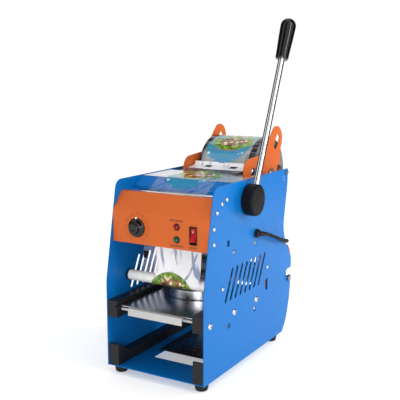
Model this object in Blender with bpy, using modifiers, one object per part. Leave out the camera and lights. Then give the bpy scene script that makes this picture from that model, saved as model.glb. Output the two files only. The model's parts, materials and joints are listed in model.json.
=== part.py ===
"""Manual cup sealing machine: a counter-top press that heat-seals printed film onto a cup.

Metres, +Z up, the operator stands at -Y. All coordinates below are written in the body's own
frame: X = 0 is the mid-plane between the side plates, Y = 0 their front edge, Z = 0 the floor.
The root empty then shifts everything so that the object's origin is at its bottom centre.
"""

import math

import bmesh
import bpy
from mathutils import Matrix, Vector

OBJECT_NAME = "cup_sealing_machine"

# Driving dimensions
GAP = 0.0003  # left between touching pieces
HALF_WIDTH = 0.100  # outer faces of the side plates
SHEET = 0.0015
FOOT_HEIGHT = 0.014
TOP = 0.348  # top edge of the side plates
INNER = HALF_WIDTH - SHEET - GAP  # how far a piece between the plates may reach

# Lever, shaft and head drive
SHAFT_Y, SHAFT_Z, SHAFT_R = 0.156, 0.3115, 0.008
LEVER_LEAN = math.radians(24.3)
LEVER_X, LEVER_R = 0.111, 0.006
GRIP_START, GRIP_END, GRIP_R = 0.2725, 0.353, 0.0145
HUB_X0, HUB_X1, HUB_R = 0.1015, 0.122, 0.0285
MODULE, PINION_TEETH = 0.0015, 20
PINION_R = MODULE * PINION_TEETH / 2
BACKLASH = 0.00035
RACK_Y = SHAFT_Y - PINION_R  # pitch line
RACK_LOW, RACK_HIGH, RACK_BACK = 0.2069, 0.3425, 0.1300
HEAD_Y = 0.158
HEAD_BOTTOM = 0.1815
POST_X, POST_R = 0.062, 0.006
POST_HEAD_Z = 0.2968
BRIDGE_LOW, BRIDGE_HIGH = 0.222, 0.228

# Tray and cup ring
RAIL_WIDTH, RAIL_LOW, RAIL_HIGH, RAIL_BACK = 0.021, 0.106, 0.136, 0.235
TRAY_LOW, TRAY_HIGH, TRAY_FRONT = 0.1265, 0.128, 0.008
GROOVE_LOW, GROOVE_HIGH, GROOVE_X = 0.1262, 0.1284, 0.0815
RING_R, RING_BORE_R, RING_TOP = 0.068, 0.0475, 0.1465

# Film path
FILM_HALF, FILM_THICK = 0.0605, 0.0006
FILM_BULGE = [  # slack between the roll and the guide roller
    (0.2700, 0.3925), (0.2560, 0.3820), (0.2470, 0.3695), (0.2425, 0.3572), (0.2370, 0.3548),
]
ROLL_Y, ROLL_Z, ROLL_R, CORE_R = 0.327, 0.335, 0.073, 0.019
DECK_TOP = 0.347
FRONT_ROD_Y, FRONT_ROD_Z, FRONT_ROD_R = 0.0773, 0.323, 0.0045
ROLLER_Y, ROLLER_Z, ROLLER_R = 0.0645, 0.1685, 0.0095
REAR_ROD_Y, REAR_ROD_Z, REAR_ROD_R = 0.2423, 0.1677, 0.005
WASTE_Y, WASTE_Z, WASTE_R = 0.344, 0.1215, 0.022
GUIDE_Y, GUIDE_Z, GUIDE_R = 0.2456, 0.3481, 0.008
BRACKET_X0, BRACKET_X1 = 0.064, 0.066

# Control panel
PANEL_Y = 0.0215
PANEL_SHEET = 0.0015
KNOB_X, KNOB_Z, KNOB_R = -0.047, 0.269, 0.0168
LIGHT_X, HEAT_Z, TEMP_Z = 0.0345, 0.2785, 0.2565
ROCKER_X, ROCKER_Z, ROCKER_PIVOT_Y = 0.0672, 0.2665, 0.0265
ROCKER_TILT = math.radians(-10)

# Fastener places on both side plates, (y, z)
M6_PLACES = [(0.0204, 0.1154), (0.1078, 0.1157), (0.1958, 0.1159)]
BOX_SCREWS = [(0.0331, 0.2793), (0.0333, 0.2529), (0.0432, 0.3053), (0.0610, 0.3178)]
ROD_SCREWS = [(FRONT_ROD_Y, FRONT_ROD_Z), (ROLLER_Y, ROLLER_Z), (REAR_ROD_Y, REAR_ROD_Z)]
GLAND_Y, GLAND_Z = 0.192, 0.243
STUD_Y, STUD_Z = 0.3255, 0.3405

# Power cord
CORD_R = 0.00325
COIL_CENTRE = (-0.030, 0.445)
COIL_INNER, COIL_OUTER, COIL_HIGH = 0.0290, 0.0425, 0.0136
CORD_ROUTE = [
    (0.1130, 0.2121, 0.2385), (0.1132, 0.2290, 0.2330), (0.1128, 0.2530, 0.2245),
    (0.1115, 0.2780, 0.2155), (0.1092, 0.3010, 0.2080), (0.1060, 0.3200, 0.2030),
    (0.1012, 0.3340, 0.2008), (0.0925, 0.3455, 0.1985), (0.0825, 0.3560, 0.1930),
    (0.0735, 0.3645, 0.1820), (0.0660, 0.3710, 0.1660), (0.0600, 0.3758, 0.1465),
    (0.0545, 0.3795, 0.1250), (0.0495, 0.3833, 0.1015), (0.0450, 0.3868, 0.0785),
    (0.0400, 0.3900, 0.0560),
    (0.0280, 0.3945, 0.0290), (0.0120, 0.3985, 0.0105), (-0.0080, 0.3999, 0.0045),
    (-0.0290, 0.39885, 0.0037),
]

# Extents that put the origin at the bottom centre
BOX_LEFT, BOX_RIGHT = -0.1045, LEVER_X + GRIP_R
BOX_FRONT, BOX_BACK = 0.0, ROLL_Y + ROLL_R

PALETTE = {
    "blue_paint": ((0.03, 0.22, 0.72), 0.35, 0.0),
    "orange_paint": ((0.78, 0.20, 0.04), 0.4, 0.0),
    "black_plastic": ((0.03, 0.03, 0.035), 0.45, 0.0),
    "black_rubber": ((0.02, 0.02, 0.02), 0.8, 0.0),
    "stainless": ((0.68, 0.68, 0.70), 0.2, 1.0),
    "chrome": ((0.85, 0.85, 0.87), 0.08, 1.0),
    "aluminium": ((0.72, 0.73, 0.75), 0.3, 1.0),
    "steel": ((0.45, 0.45, 0.47), 0.4, 1.0),
    "white_paint": ((0.85, 0.85, 0.84), 0.35, 0.0),
    "ivory_plastic": ((0.84, 0.83, 0.80), 0.4, 0.0),
    "silicone": ((0.75, 0.74, 0.70), 0.6, 0.0),
    "brass": ((0.75, 0.55, 0.25), 0.3, 1.0),
    "mica_board": ((0.70, 0.66, 0.55), 0.7, 0.0),
    "film": ((0.80, 0.86, 0.86), 0.15, 0.0),
    "cardboard": ((0.55, 0.42, 0.28), 0.8, 0.0),
    "red_plastic": ((0.65, 0.02, 0.03), 0.2, 0.0),
    "green_plastic": ((0.02, 0.30, 0.24), 0.2, 0.0),
}


# ---------------------------------------------------------------- scene and materials


def clear_scene():
    for obj in list(bpy.data.objects):
        bpy.data.objects.remove(obj, do_unlink=True)


def new_collection(name):
    collection = bpy.data.collections.new(name)
    bpy.context.scene.collection.children.link(collection)
    return collection


def new_material(name):
    color, roughness, metallic = PALETTE[name]
    material = bpy.data.materials.new(name)
    material.use_nodes = True
    shader = material.node_tree.nodes["Principled BSDF"]
    shader.inputs["Base Color"].default_value = (*color, 1.0)
    shader.inputs["Roughness"].default_value = roughness
    shader.inputs["Metallic"].default_value = metallic
    return material


clear_scene()
PARTS = new_collection(OBJECT_NAME)
CUTTERS = new_collection("cutters")
MATERIALS = {name: new_material(name) for name in PALETTE}


def new_empty(name, location, parent=None):
    empty = bpy.data.objects.new(name, None)
    empty.empty_display_size = 0.02
    PARTS.objects.link(empty)
    empty.parent = parent
    empty.location = Vector(location) - (Vector(HOME[parent.name]) if parent else Vector())
    HOME[name] = location
    return empty


HOME = {}
ROOT = new_empty("origin_shift", (0, 0, 0))
ROOT.location = (-(BOX_LEFT + BOX_RIGHT) / 2, -(BOX_FRONT + BOX_BACK) / 2, 0)
AXES = {
    "lever": (0, SHAFT_Y, SHAFT_Z),
    "head": (0, HEAD_Y, HEAD_BOTTOM),
    "tray": (0, TRAY_FRONT, TRAY_LOW),
    "supply_roll": (0, ROLL_Y, ROLL_Z),
    "guide_roller": (0, GUIDE_Y, GUIDE_Z),
    "front_roller": (0, ROLLER_Y, ROLLER_Z),
    "waste_roll": (0, WASTE_Y, WASTE_Z),
    "knob": (KNOB_X, PANEL_Y, KNOB_Z),
    "rocker": (ROCKER_X, ROCKER_PIVOT_Y, ROCKER_Z),
}
BODIES = {name: new_empty(f"{name}_axis", place, ROOT) for name, place in AXES.items()}
BODIES["root"] = ROOT


def attach(obj, body):
    """Parents an object placed in the body's frame to the empty on its joint's axis."""
    empty = BODIES[body]
    obj.parent = empty
    obj.location = obj.location - Vector(HOME[empty.name])


# ---------------------------------------------------------------- outlines


def circle(a, b, radius, count=12):
    turn = 2 * math.pi / count
    return [(a + radius * math.cos(i * turn), b + radius * math.sin(i * turn)) for i in range(count)]


def rectangle(a0, b0, a1, b1):
    return [(a0, b0), (a1, b0), (a1, b1), (a0, b1)]


def slot(start, end, radius, count=5):
    """A round-ended slot between two centres."""
    angle = math.atan2(end[1] - start[1], end[0] - start[0])
    points = []
    for centre, first in ((end, angle - math.pi / 2), (start, angle + math.pi / 2)):
        for i in range(count):
            turn = first + math.pi * i / (count - 1)
            points.append((centre[0] + radius * math.cos(turn), centre[1] + radius * math.sin(turn)))
    return points


def rounded(corners, step=math.radians(15)):
    """An outline through corners (a, b, radius), each radius laid in as an arc."""
    points = []
    for i, (a, b, radius) in enumerate(corners):
        corner = Vector((a, b))
        if radius == 0:
            points.append((a, b))
            continue
        before = (Vector(corners[i - 1][:2]) - corner).normalized()
        after = (Vector(corners[(i + 1) % len(corners)][:2]) - corner).normalized()
        half = before.angle(after) / 2
        centre = corner + (before + after).normalized() * (radius / math.sin(half))
        start = corner + before * (radius / math.tan(half)) - centre
        turn = after.angle_signed(before) + math.pi
        turn = (turn + math.pi) % (2 * math.pi) - math.pi
        count = max(2, math.ceil(abs(turn) / step))
        for k in range(count + 1):
            spin = Matrix.Rotation(turn * k / count, 2)
            points.append(tuple(centre + spin @ start))
    return points


def strip(points, thickness):
    """The outline of a folded sheet whose outer side follows the points, material on their left."""
    inner = []
    for i, point in enumerate(points):
        here = Vector(point)
        sides = []
        if i > 0:
            sides.append((here - Vector(points[i - 1])).normalized())
        if i < len(points) - 1:
            sides.append((Vector(points[i + 1]) - here).normalized())
        normals = [Vector((-side.y, side.x)) for side in sides]
        middle = sum(normals, Vector((0, 0))).normalized()
        inner.append(tuple(here + middle * (thickness / middle.dot(normals[0]))))
    return list(points) + inner[::-1]


# ---------------------------------------------------------------- solids


ALONG_X = Matrix.Rotation(math.pi / 2, 4, "Z") @ Matrix.Rotation(math.pi / 2, 4, "X")
ALONG_Y = Matrix.Rotation(math.pi / 2, 4, "X")
TURN_TO_X = Matrix.Rotation(math.pi / 2, 4, "Y")
TURN_TO_FRONT = Matrix.Rotation(math.pi / 2, 4, "X")


def mesh_of(obj):
    """The object's evaluated mesh, welded, in place of the object."""
    graph = bpy.context.evaluated_depsgraph_get()
    graph.update()
    mesh = bpy.data.meshes.new_from_object(obj.evaluated_get(graph))
    matrix = obj.matrix_world.copy()
    bpy.data.objects.remove(obj, do_unlink=True)
    mesh.transform(matrix)
    work = bmesh.new()
    work.from_mesh(mesh)
    bmesh.ops.remove_doubles(work, verts=work.verts, dist=1e-6)
    work.to_mesh(mesh)
    work.free()
    return mesh


def extruded(loop, low, high, frame):
    """The outline as a prism between two heights along the frame's Z."""
    curve = bpy.data.curves.new("outline", "CURVE")
    curve.dimensions = "2D"
    curve.fill_mode = "BOTH"
    curve.extrude = abs(high - low) / 2
    spline = curve.splines.new("POLY")
    spline.points.add(len(loop) - 1)
    for point, (a, b) in zip(spline.points, loop):
        point.co = (a, b, 0, 1)
    spline.use_cyclic_u = True
    obj = bpy.data.objects.new("outline", curve)
    bpy.context.scene.collection.objects.link(obj)
    obj.matrix_world = frame @ Matrix.Translation((0, 0, (low + high) / 2))
    return mesh_of(obj)


def plate_mesh(loops, low, high, frame=Matrix.Identity(4)):
    """A flat plate: the first loop is its outline and the others are holes cut through it."""
    plate = extruded(loops[0], low, high, frame)
    if len(loops) == 1:
        return plate
    holes = bmesh.new()
    for loop in loops[1:]:
        holes.from_mesh(extruded(loop, low - 0.001, high + 0.001, frame))
    return combined(plate, [finished(holes)], "DIFFERENCE")


def plate_x(loops, low, high):
    """Loops are (y, z), extruded along X."""
    return plate_mesh(loops, low, high, ALONG_X)


def plate_y(loops, low, high):
    """Loops are (x, z), extruded along Y."""
    return plate_mesh(loops, -high, -low, ALONG_Y)


def turned_mesh(profile, steps=32, frame=Matrix.Identity(4), closed=False):
    """The profile (radius, height), top to bottom on its outer side, turned about the frame's Z."""
    mesh = bpy.data.meshes.new("profile")
    edges = [(i, i + 1) for i in range(len(profile) - 1)]
    if closed:
        edges.append((len(profile) - 1, 0))
    mesh.from_pydata([(r, 0, h) for r, h in profile], edges, [])
    obj = bpy.data.objects.new("profile", mesh)
    bpy.context.scene.collection.objects.link(obj)
    obj.matrix_world = frame
    screw = obj.modifiers.new("turn", "SCREW")
    screw.steps = screw.render_steps = steps
    screw.use_merge_vertices = True
    screw.merge_threshold = 0.00001
    return mesh_of(obj)


def rod_mesh(start, end, radius, steps=24):
    start, end = Vector(start), Vector(end)
    direction = end - start
    frame = Matrix.Translation(start) @ direction.to_track_quat("Z", "Y").to_matrix().to_4x4()
    work = bmesh.new()
    bmesh.ops.create_cone(
        work, cap_ends=True, segments=steps, radius1=radius, radius2=radius, depth=direction.length,
        matrix=frame @ Matrix.Translation((0, 0, direction.length / 2)),
    )
    return finished(work)


def box_mesh(low, high):
    low, high = Vector(low), Vector(high)
    work = bmesh.new()
    scale = Matrix.Diagonal((*(high - low), 1))
    bmesh.ops.create_cube(work, size=1, matrix=Matrix.Translation((low + high) / 2) @ scale)
    return finished(work)


def finished(work):
    mesh = bpy.data.meshes.new("solid")
    work.to_mesh(mesh)
    work.free()
    return mesh


def moved(mesh, *matrices):
    """One mesh holding a copy of this one for each matrix."""
    work = bmesh.new()
    for matrix in matrices:
        copy = mesh.copy()
        copy.transform(matrix)
        if matrix.determinant() < 0:
            copy.flip_normals()
        work.from_mesh(copy)
    return finished(work)


def combined(mesh, others, operation):
    """Booleans the others into or out of the mesh, one after another."""
    obj = bpy.data.objects.new("worked", mesh)
    bpy.context.scene.collection.objects.link(obj)
    for other in others:
        tool = bpy.data.objects.new("cutter", other)
        tool.hide_render = True
        tool.display_type = "WIRE"
        CUTTERS.objects.link(tool)
        boolean = obj.modifiers.new(operation.lower(), "BOOLEAN")
        boolean.operation = operation
        boolean.object = tool
        boolean.solver = "EXACT"
    return mesh_of(obj)


def mirrored(mesh):
    """A copy of the mesh on the other side of the mid-plane."""
    return moved(mesh, Matrix.Diagonal((-1, 1, 1, 1)))


def node(name, mesh, material, body="root", origin=None, smooth=True):
    """Makes the named piece. Its origin is put at the point given, such as one on its axis."""
    mesh.name = name
    origin = Vector(origin or AXES.get(body, (0, 0, 0)))
    mesh.transform(Matrix.Translation(-origin))
    mesh.materials.clear()
    mesh.materials.append(MATERIALS[material])
    if smooth:
        mesh.shade_smooth()
        mesh.set_sharp_from_angle(angle=math.radians(35))
    obj = bpy.data.objects.new(name, mesh)
    PARTS.objects.link(obj)
    obj.location = origin
    attach(obj, body)
    return obj


def pair(name, mesh, *details, **options):
    """The piece given, on the right, and its mirror image on the left."""
    left = mirrored(mesh)
    node(f"{name}_right", mesh, *details, **options)
    node(f"{name}_left", left, *details, **options)


def ring_profile(inner, outer, low, high):
    return [(outer, high), (outer, low), (inner, low), (inner, high)]


def at(x=0.0, y=0.0, z=0.0):
    return Matrix.Translation((x, y, z))


# ---------------------------------------------------------------- frame


def side_plate_outline():
    return rounded([
        (0.0000, FOOT_HEIGHT, 0), (0.0000, 0.1720, 0.060), (0.0335, TOP, 0.018),
        (0.3330, TOP, 0.002), (0.3325, 0.318, 0.060), (0.3160, 0.2340, 0.040),
        (0.3275, 0.2000, 0.030), (0.3580, 0.1640, 0.018), (0.3575, 0.1410, 0.002), (0.3340, 0.1410, 0.006),
        (0.3340, 0.1265, 0.004), (0.3575, 0.1265, 0.003), (0.3530, 0.0760, 0.150),
        (0.3360, 0.0340, 0.050), (0.3185, FOOT_HEIGHT, 0),
    ])


def vent_slots():
    """Eight slanting slots, each leaning back as it rises."""
    slots = []
    for i in range(8):
        y = 0.1010 + 0.0186 * i
        slots.append(slot((y - 0.0255, 0.1435), (y, 0.1955), 0.0036))
    return slots


def tab_holes():
    sizes = [
        (0.0844, 0.2450, 0.0078, 0.0110), (0.1050, 0.2250, 0.0085, 0.0088), (0.1897, 0.2250, 0.0066, 0.0088),
        (0.1907, 0.0980, 0.0072, 0.0100), (0.0883, 0.0960, 0.0100, 0.0090), (0.3168, 0.3300, 0.0045, 0.0120),
    ]
    holes = [rectangle(y - w / 2, z - h / 2, y + w / 2, z + h / 2) for y, z, w, h in sizes]
    holes.append([(0.2375, 0.1215), (0.2460, 0.1235), (0.2465, 0.1455), (0.2335, 0.1425)])
    return holes


def side_plates():
    loops = [side_plate_outline(), *vent_slots(), *tab_holes()]
    loops += [circle(y, z, 0.0033, 10) for y, z in M6_PLACES]
    loops += [circle(y, z, 0.0023, 8) for y, z in BOX_SCREWS + ROD_SCREWS]
    loops.append(circle(SHAFT_Y, SHAFT_Z, 0.0133, 20))
    loops.append(circle(WASTE_Y, WASTE_Z, 0.0053, 14))
    loops.append(circle(STUD_Y, STUD_Z, 0.0048, 10))
    left, right = list(loops), list(loops)
    right.append(circle(GLAND_Y, GLAND_Z, 0.0063, 14))
    for name, loops, x in (("left", left, -HALF_WIDTH), ("right", right, HALF_WIDTH - SHEET)):
        node(f"{name}_side_plate", plate_x(loops, x, x + SHEET), "blue_paint", smooth=False)


def base():
    outline = rounded([(-INNER, 0.001, 0), (INNER, 0.001, 0), (INNER, 0.316, 0), (-INNER, 0.316, 0)])
    opening = rounded([
        (-0.047, 0.0695, 0.002), (0.047, 0.0695, 0.002), (0.047, 0.235, 0.002), (-0.047, 0.235, 0.002),
    ])
    low = FOOT_HEIGHT + GAP
    high = low + SHEET
    feet_places = [(x, y) for x in (-0.084, 0.084) for y in (0.020, 0.298)]
    bolt_holes = [circle(x, y, 0.0025, 8) for x, y in feet_places]
    node("base_plate", plate_mesh([outline, opening, *bolt_holes], low, high), "blue_paint", smooth=False)

    mat = rounded([
        (-0.057, 0.103, 0.004), (0.057, 0.103, 0.004), (0.057, 0.246, 0.004), (-0.057, 0.246, 0.004),
    ])
    node("cup_rest_mat", plate_mesh([mat], high + GAP, high + GAP + 0.0028), "black_rubber", smooth=False)

    foot = turned_mesh([
        (0, FOOT_HEIGHT), (0.013, FOOT_HEIGHT), (0.0125, 0.010), (0.0108, 0.0012),
        (0.0098, 0), (0.0045, 0), (0.0045, 0.004), (0, 0.004),
    ], 20)
    for side, x in (("left", -0.084), ("right", 0.084)):
        for end, y in (("front", 0.020), ("rear", 0.298)):
            node(f"foot_{end}_{side}", moved(foot, at(x, y)), "black_rubber", origin=(x, y, 0))

    rail = [
        (0.0015, high + GAP), (0.300, high + GAP), (0.300, 0.0335), (0.0380, 0.0335),
        (0.0055, 0.055), (0.0015, 0.055),
    ]
    pair("base_rail", plate_x([rail], INNER - 0.021, INNER), "black_plastic", smooth=False)


def tray_rails():
    """Square rails screwed to the side plates, grooved along their inner sides for the tray's edges."""
    inside = INNER - RAIL_WIDTH
    section = [
        (INNER, RAIL_LOW), (INNER, RAIL_HIGH), (inside, RAIL_HIGH), (inside, GROOVE_HIGH),
        (GROOVE_X, GROOVE_HIGH), (GROOVE_X, GROOVE_LOW), (inside, GROOVE_LOW), (inside, RAIL_LOW),
    ]
    holes = [rod_mesh((0.087, y, z), (0.102, y, z), 0.0033, 10) for y, z in M6_PLACES]
    rail = combined(plate_y([section], 0, RAIL_BACK), holes, "DIFFERENCE")
    pair("tray_rail", rail, "black_plastic", smooth=False)


# ---------------------------------------------------------------- tray


def tray():
    edge = 0.080
    outline = rounded([
        (-edge, TRAY_FRONT, 0.003), (edge, TRAY_FRONT, 0.003), (edge, 0.232, 0.003), (-edge, 0.232, 0.003),
    ])
    plate = plate_mesh([outline, circle(0, HEAD_Y, RING_BORE_R + 0.0005, 32)], TRAY_LOW, TRAY_HIGH)
    node("tray_plate", plate, "stainless", "tray", smooth=False)

    top = TRAY_LOW - GAP
    handle = [
        (0.0017, 0.1135), (0.0032, 0.1135), (0.0032, top - 0.0015), (0.022, top - 0.0015), (0.022, top),
        (0.0017, top),
    ]
    angle = plate_x([handle], -0.055, 0.0555)
    bar = box_mesh((-0.0755, 0.0100, top - 0.0075), (0.0755, 0.0140, top - 0.0035))
    web = box_mesh((-0.0500, 0.0110, top - 0.0040), (0.0500, 0.0130, top - 0.0010))
    node("tray_handle", combined(angle, [bar, web], "UNION"), "white_paint", "tray", smooth=False)

    bottom = TRAY_HIGH + GAP
    ring = turned_mesh([
        (RING_R - 0.0015, RING_TOP), (RING_R, RING_TOP - 0.0015), (RING_R, bottom + 0.0008),
        (RING_R - 0.0008, bottom), (RING_BORE_R, bottom), (RING_BORE_R, RING_TOP - 0.002),
        (RING_BORE_R + 0.004, RING_TOP - 0.002), (RING_BORE_R + 0.004, RING_TOP),
    ], 48, at(0, HEAD_Y), closed=True)
    outward = Matrix.Rotation(math.radians(-78.7), 3, "Z") @ Vector((1, 0, 0))
    centre = Vector((0, HEAD_Y, bottom + 0.0050))
    hole = rod_mesh(centre + outward * 0.040, centre + outward * 0.075, 0.0020, 12)
    node("cup_ring", combined(ring, [hole], "DIFFERENCE"), "aluminium", "tray")
    seal = turned_mesh(
        ring_profile(RING_BORE_R + GAP, RING_BORE_R + 0.0037, RING_TOP - 0.0017, RING_TOP + 0.002),
        40, at(0, HEAD_Y), closed=True,
    )
    node("cup_ring_seal", seal, "silicone", "tray")


# ---------------------------------------------------------------- sealing head


def gear_outline():
    """Involute pinion teeth, one of them pointing at the rack."""
    pressure = math.radians(20)
    base_r = PINION_R * math.cos(pressure)
    half_pitch = math.pi / (2 * PINION_TEETH) - BACKLASH / (2 * PINION_R)
    at_pitch = half_pitch + math.tan(pressure) - pressure
    flank = [(PINION_R - 1.25 * MODULE, at_pitch), (base_r, at_pitch)]
    for radius in (PINION_R, PINION_R + MODULE):
        angle = math.acos(base_r / radius)
        flank.append((radius, at_pitch - (math.tan(angle) - angle)))
    points = []
    for tooth in range(PINION_TEETH):
        middle = math.pi + tooth * 2 * math.pi / PINION_TEETH
        for radius, half in [(r, -h) for r, h in flank] + flank[::-1]:
            turn = middle + half
            points.append((SHAFT_Y + radius * math.cos(turn), SHAFT_Z + radius * math.sin(turn)))
    return points


def rack_outline():
    """Straight-sided rack teeth facing the pinion, a space level with the shaft."""
    pitch = math.pi * MODULE
    lean = math.tan(math.radians(20))
    half = (pitch - BACKLASH * 2) / 4
    tip, root = MODULE, -1.25 * MODULE
    points = []
    first = math.ceil((RACK_LOW + 0.055 - SHAFT_Z) / pitch)
    last = math.floor((RACK_HIGH - SHAFT_Z) / pitch - 1)
    for tooth in range(first, last + 1):
        middle = SHAFT_Z + (tooth + 0.5) * pitch
        points += [
            (RACK_Y + root, middle - half + lean * root), (RACK_Y + tip, middle - half + lean * tip),
            (RACK_Y + tip, middle + half - lean * tip), (RACK_Y + root, middle + half - lean * root),
        ]
    return [
        (RACK_BACK, RACK_LOW), (RACK_Y + root, RACK_LOW), *points,
        (RACK_Y + root, RACK_HIGH), (RACK_BACK, RACK_HIGH),
    ]


def head_bridge():
    """The fixed cross plate that guides the head: tabs in the side plates' slots, two pressed bushes."""
    reach = HALF_WIDTH - GAP
    loops = [rectangle(-INNER, 0.100, INNER, 0.198), rectangle(-0.0085, 0.1280, 0.0085, 0.1440)]
    plate = plate_mesh(loops, BRIDGE_LOW, BRIDGE_HIGH)
    low, high = BRIDGE_LOW + 0.0001, BRIDGE_HIGH - 0.0001
    tabs = []
    for y, half in ((0.1050, 0.0038), (0.1897, 0.0029)):
        tab = box_mesh((INNER - 0.002, y - half, low), (reach, y + half, high))
        tabs += [tab, mirrored(tab)]
    plate = combined(plate, tabs, "UNION")
    top, bottom = BRIDGE_HIGH + 0.003, 0.2150
    bush = turned_mesh([
        (0, top), (0.014, top), (0.014, BRIDGE_HIGH - 0.001), (0.0110, BRIDGE_HIGH - 0.001),
        (0.0110, bottom), (0, bottom),
    ], 24, at(POST_X, HEAD_Y))
    bore = rod_mesh((POST_X, HEAD_Y, bottom - 0.01), (POST_X, HEAD_Y, top + 0.01), POST_R + GAP)
    joined = combined(plate, [bush, mirrored(bush)], "UNION")
    node("head_bridge", combined(joined, [bore, mirrored(bore)], "DIFFERENCE"), "steel")

    low, high, turns, per_turn = top + 0.0016, POST_HEAD_Z - 0.0016, 6, 10
    count = turns * per_turn
    helix = []
    for i in range(count + 1):
        angle = 2 * math.pi * i / per_turn
        height = low + (high - low) * i / count
        helix.append((POST_X + 0.0105 * math.cos(angle), HEAD_Y + 0.0105 * math.sin(angle), height))
    pair("return_spring", tube_mesh(helix, 0.0011, resolution=2), "steel")


def sealing_head():
    disc = HEAD_BOTTOM + 0.011
    board = disc + GAP + 0.0055
    plate = board + GAP
    heater = turned_mesh([
        (0, disc), (0.050, disc), (0.050, HEAD_BOTTOM + 0.001), (0.049, HEAD_BOTTOM), (0, HEAD_BOTTOM),
    ], 40, at(0, HEAD_Y))
    node("heater_block", heater, "aluminium", "head")
    sides = [(0, board), (0.050, board), (0.050, disc + GAP), (0, disc + GAP)]
    insulator = turned_mesh(sides, 32, at(0, HEAD_Y))
    node("insulator_disc", insulator, "mica_board", "head")
    cutter = turned_mesh([
        (0.0565, board), (0.0565, HEAD_BOTTOM + 0.003), (0.0527, HEAD_BOTTOM), (0.0512, HEAD_BOTTOM),
        (0.0512, board),
    ], 40, at(0, HEAD_Y), closed=True)
    node("cutter_ring", cutter, "steel", "head")
    corners = [(-0.078, 0.126, 0.006), (0.078, 0.126, 0.006), (0.078, 0.190, 0.006), (-0.078, 0.190, 0.006)]
    node("head_plate", plate_mesh([rounded(corners)], plate, RACK_LOW - GAP), "steel", "head", smooth=False)

    post = turned_mesh([
        (0, POST_HEAD_Z + 0.006), (0.0115, POST_HEAD_Z + 0.006), (0.0125, POST_HEAD_Z + 0.005),
        (0.0125, POST_HEAD_Z), (POST_R, POST_HEAD_Z), (POST_R, RACK_LOW), (0, RACK_LOW),
    ], 20, at(POST_X, HEAD_Y))
    pair("guide_post", post, "chrome", "head")
    node("head_rack", plate_x([rack_outline()], -0.006, 0.006), "steel", "head", smooth=False)


# ---------------------------------------------------------------- lever and shaft


def lever():
    along = at(0, SHAFT_Y, SHAFT_Z) @ TURN_TO_X
    shaft = turned_mesh([
        (0, 0.1177), (0.0072, 0.1177), (SHAFT_R, 0.117), (SHAFT_R, -0.1035), (0.0072, -0.104), (0, -0.104),
    ], 24, along)
    pinion = plate_x([gear_outline()], -0.007, 0.007)
    node("pinion_shaft", combined(shaft, [pinion], "UNION"), "steel", "lever")
    bearing = turned_mesh([
        (0.013, 0.1005), (0.013, INNER), (0.017, INNER), (0.017, 0.0940),
        (SHAFT_R + GAP, 0.0940), (SHAFT_R + GAP, 0.1005),
    ], 24, along, closed=True)
    pair("shaft_bearing", bearing, "brass")

    hub = turned_mesh([
        (0, HUB_X1), (HUB_R - 0.003, HUB_X1), (HUB_R - 0.0009, HUB_X1 - 0.0009), (HUB_R, HUB_X1 - 0.003),
        (HUB_R, HUB_X0 + 0.001), (HUB_R - 0.001, HUB_X0), (SHAFT_R + GAP, HUB_X0), (SHAFT_R + GAP, 0.118),
        (0, 0.118),
    ], 40, along)
    up = Vector((0, math.sin(LEVER_LEAN), math.cos(LEVER_LEAN)))
    centre = Vector((LEVER_X, SHAFT_Y, SHAFT_Z))
    bore = rod_mesh(centre + up * 0.0090, centre + up * 0.035, LEVER_R + GAP, 20)
    node("lever_hub", combined(hub, [bore], "DIFFERENCE"), "black_plastic", "lever")
    rod = rod_mesh(centre + up * 0.0095, centre + up * 0.3447, LEVER_R, 20)
    node("lever_rod", rod, "chrome", "lever")
    swell = GRIP_END - GRIP_R
    lean = at(*centre) @ Matrix.Rotation(-LEVER_LEAN, 4, "X")
    steps = [math.radians(degrees) for degrees in range(0, 91, 15)]
    dome = [(GRIP_R * math.sin(a), swell + GRIP_R * math.cos(a)) for a in steps]
    grip = turned_mesh([
        *dome, (0.0138, 0.312), (0.0125, 0.290), (0.0123, GRIP_START + 0.002), (0.0112, GRIP_START),
        (LEVER_R + GAP, GRIP_START), (LEVER_R + GAP, 0.345), (0, 0.345),
    ], 28, lean)
    node("lever_grip", grip, "black_plastic", "lever")


# ---------------------------------------------------------------- control panel


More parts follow.
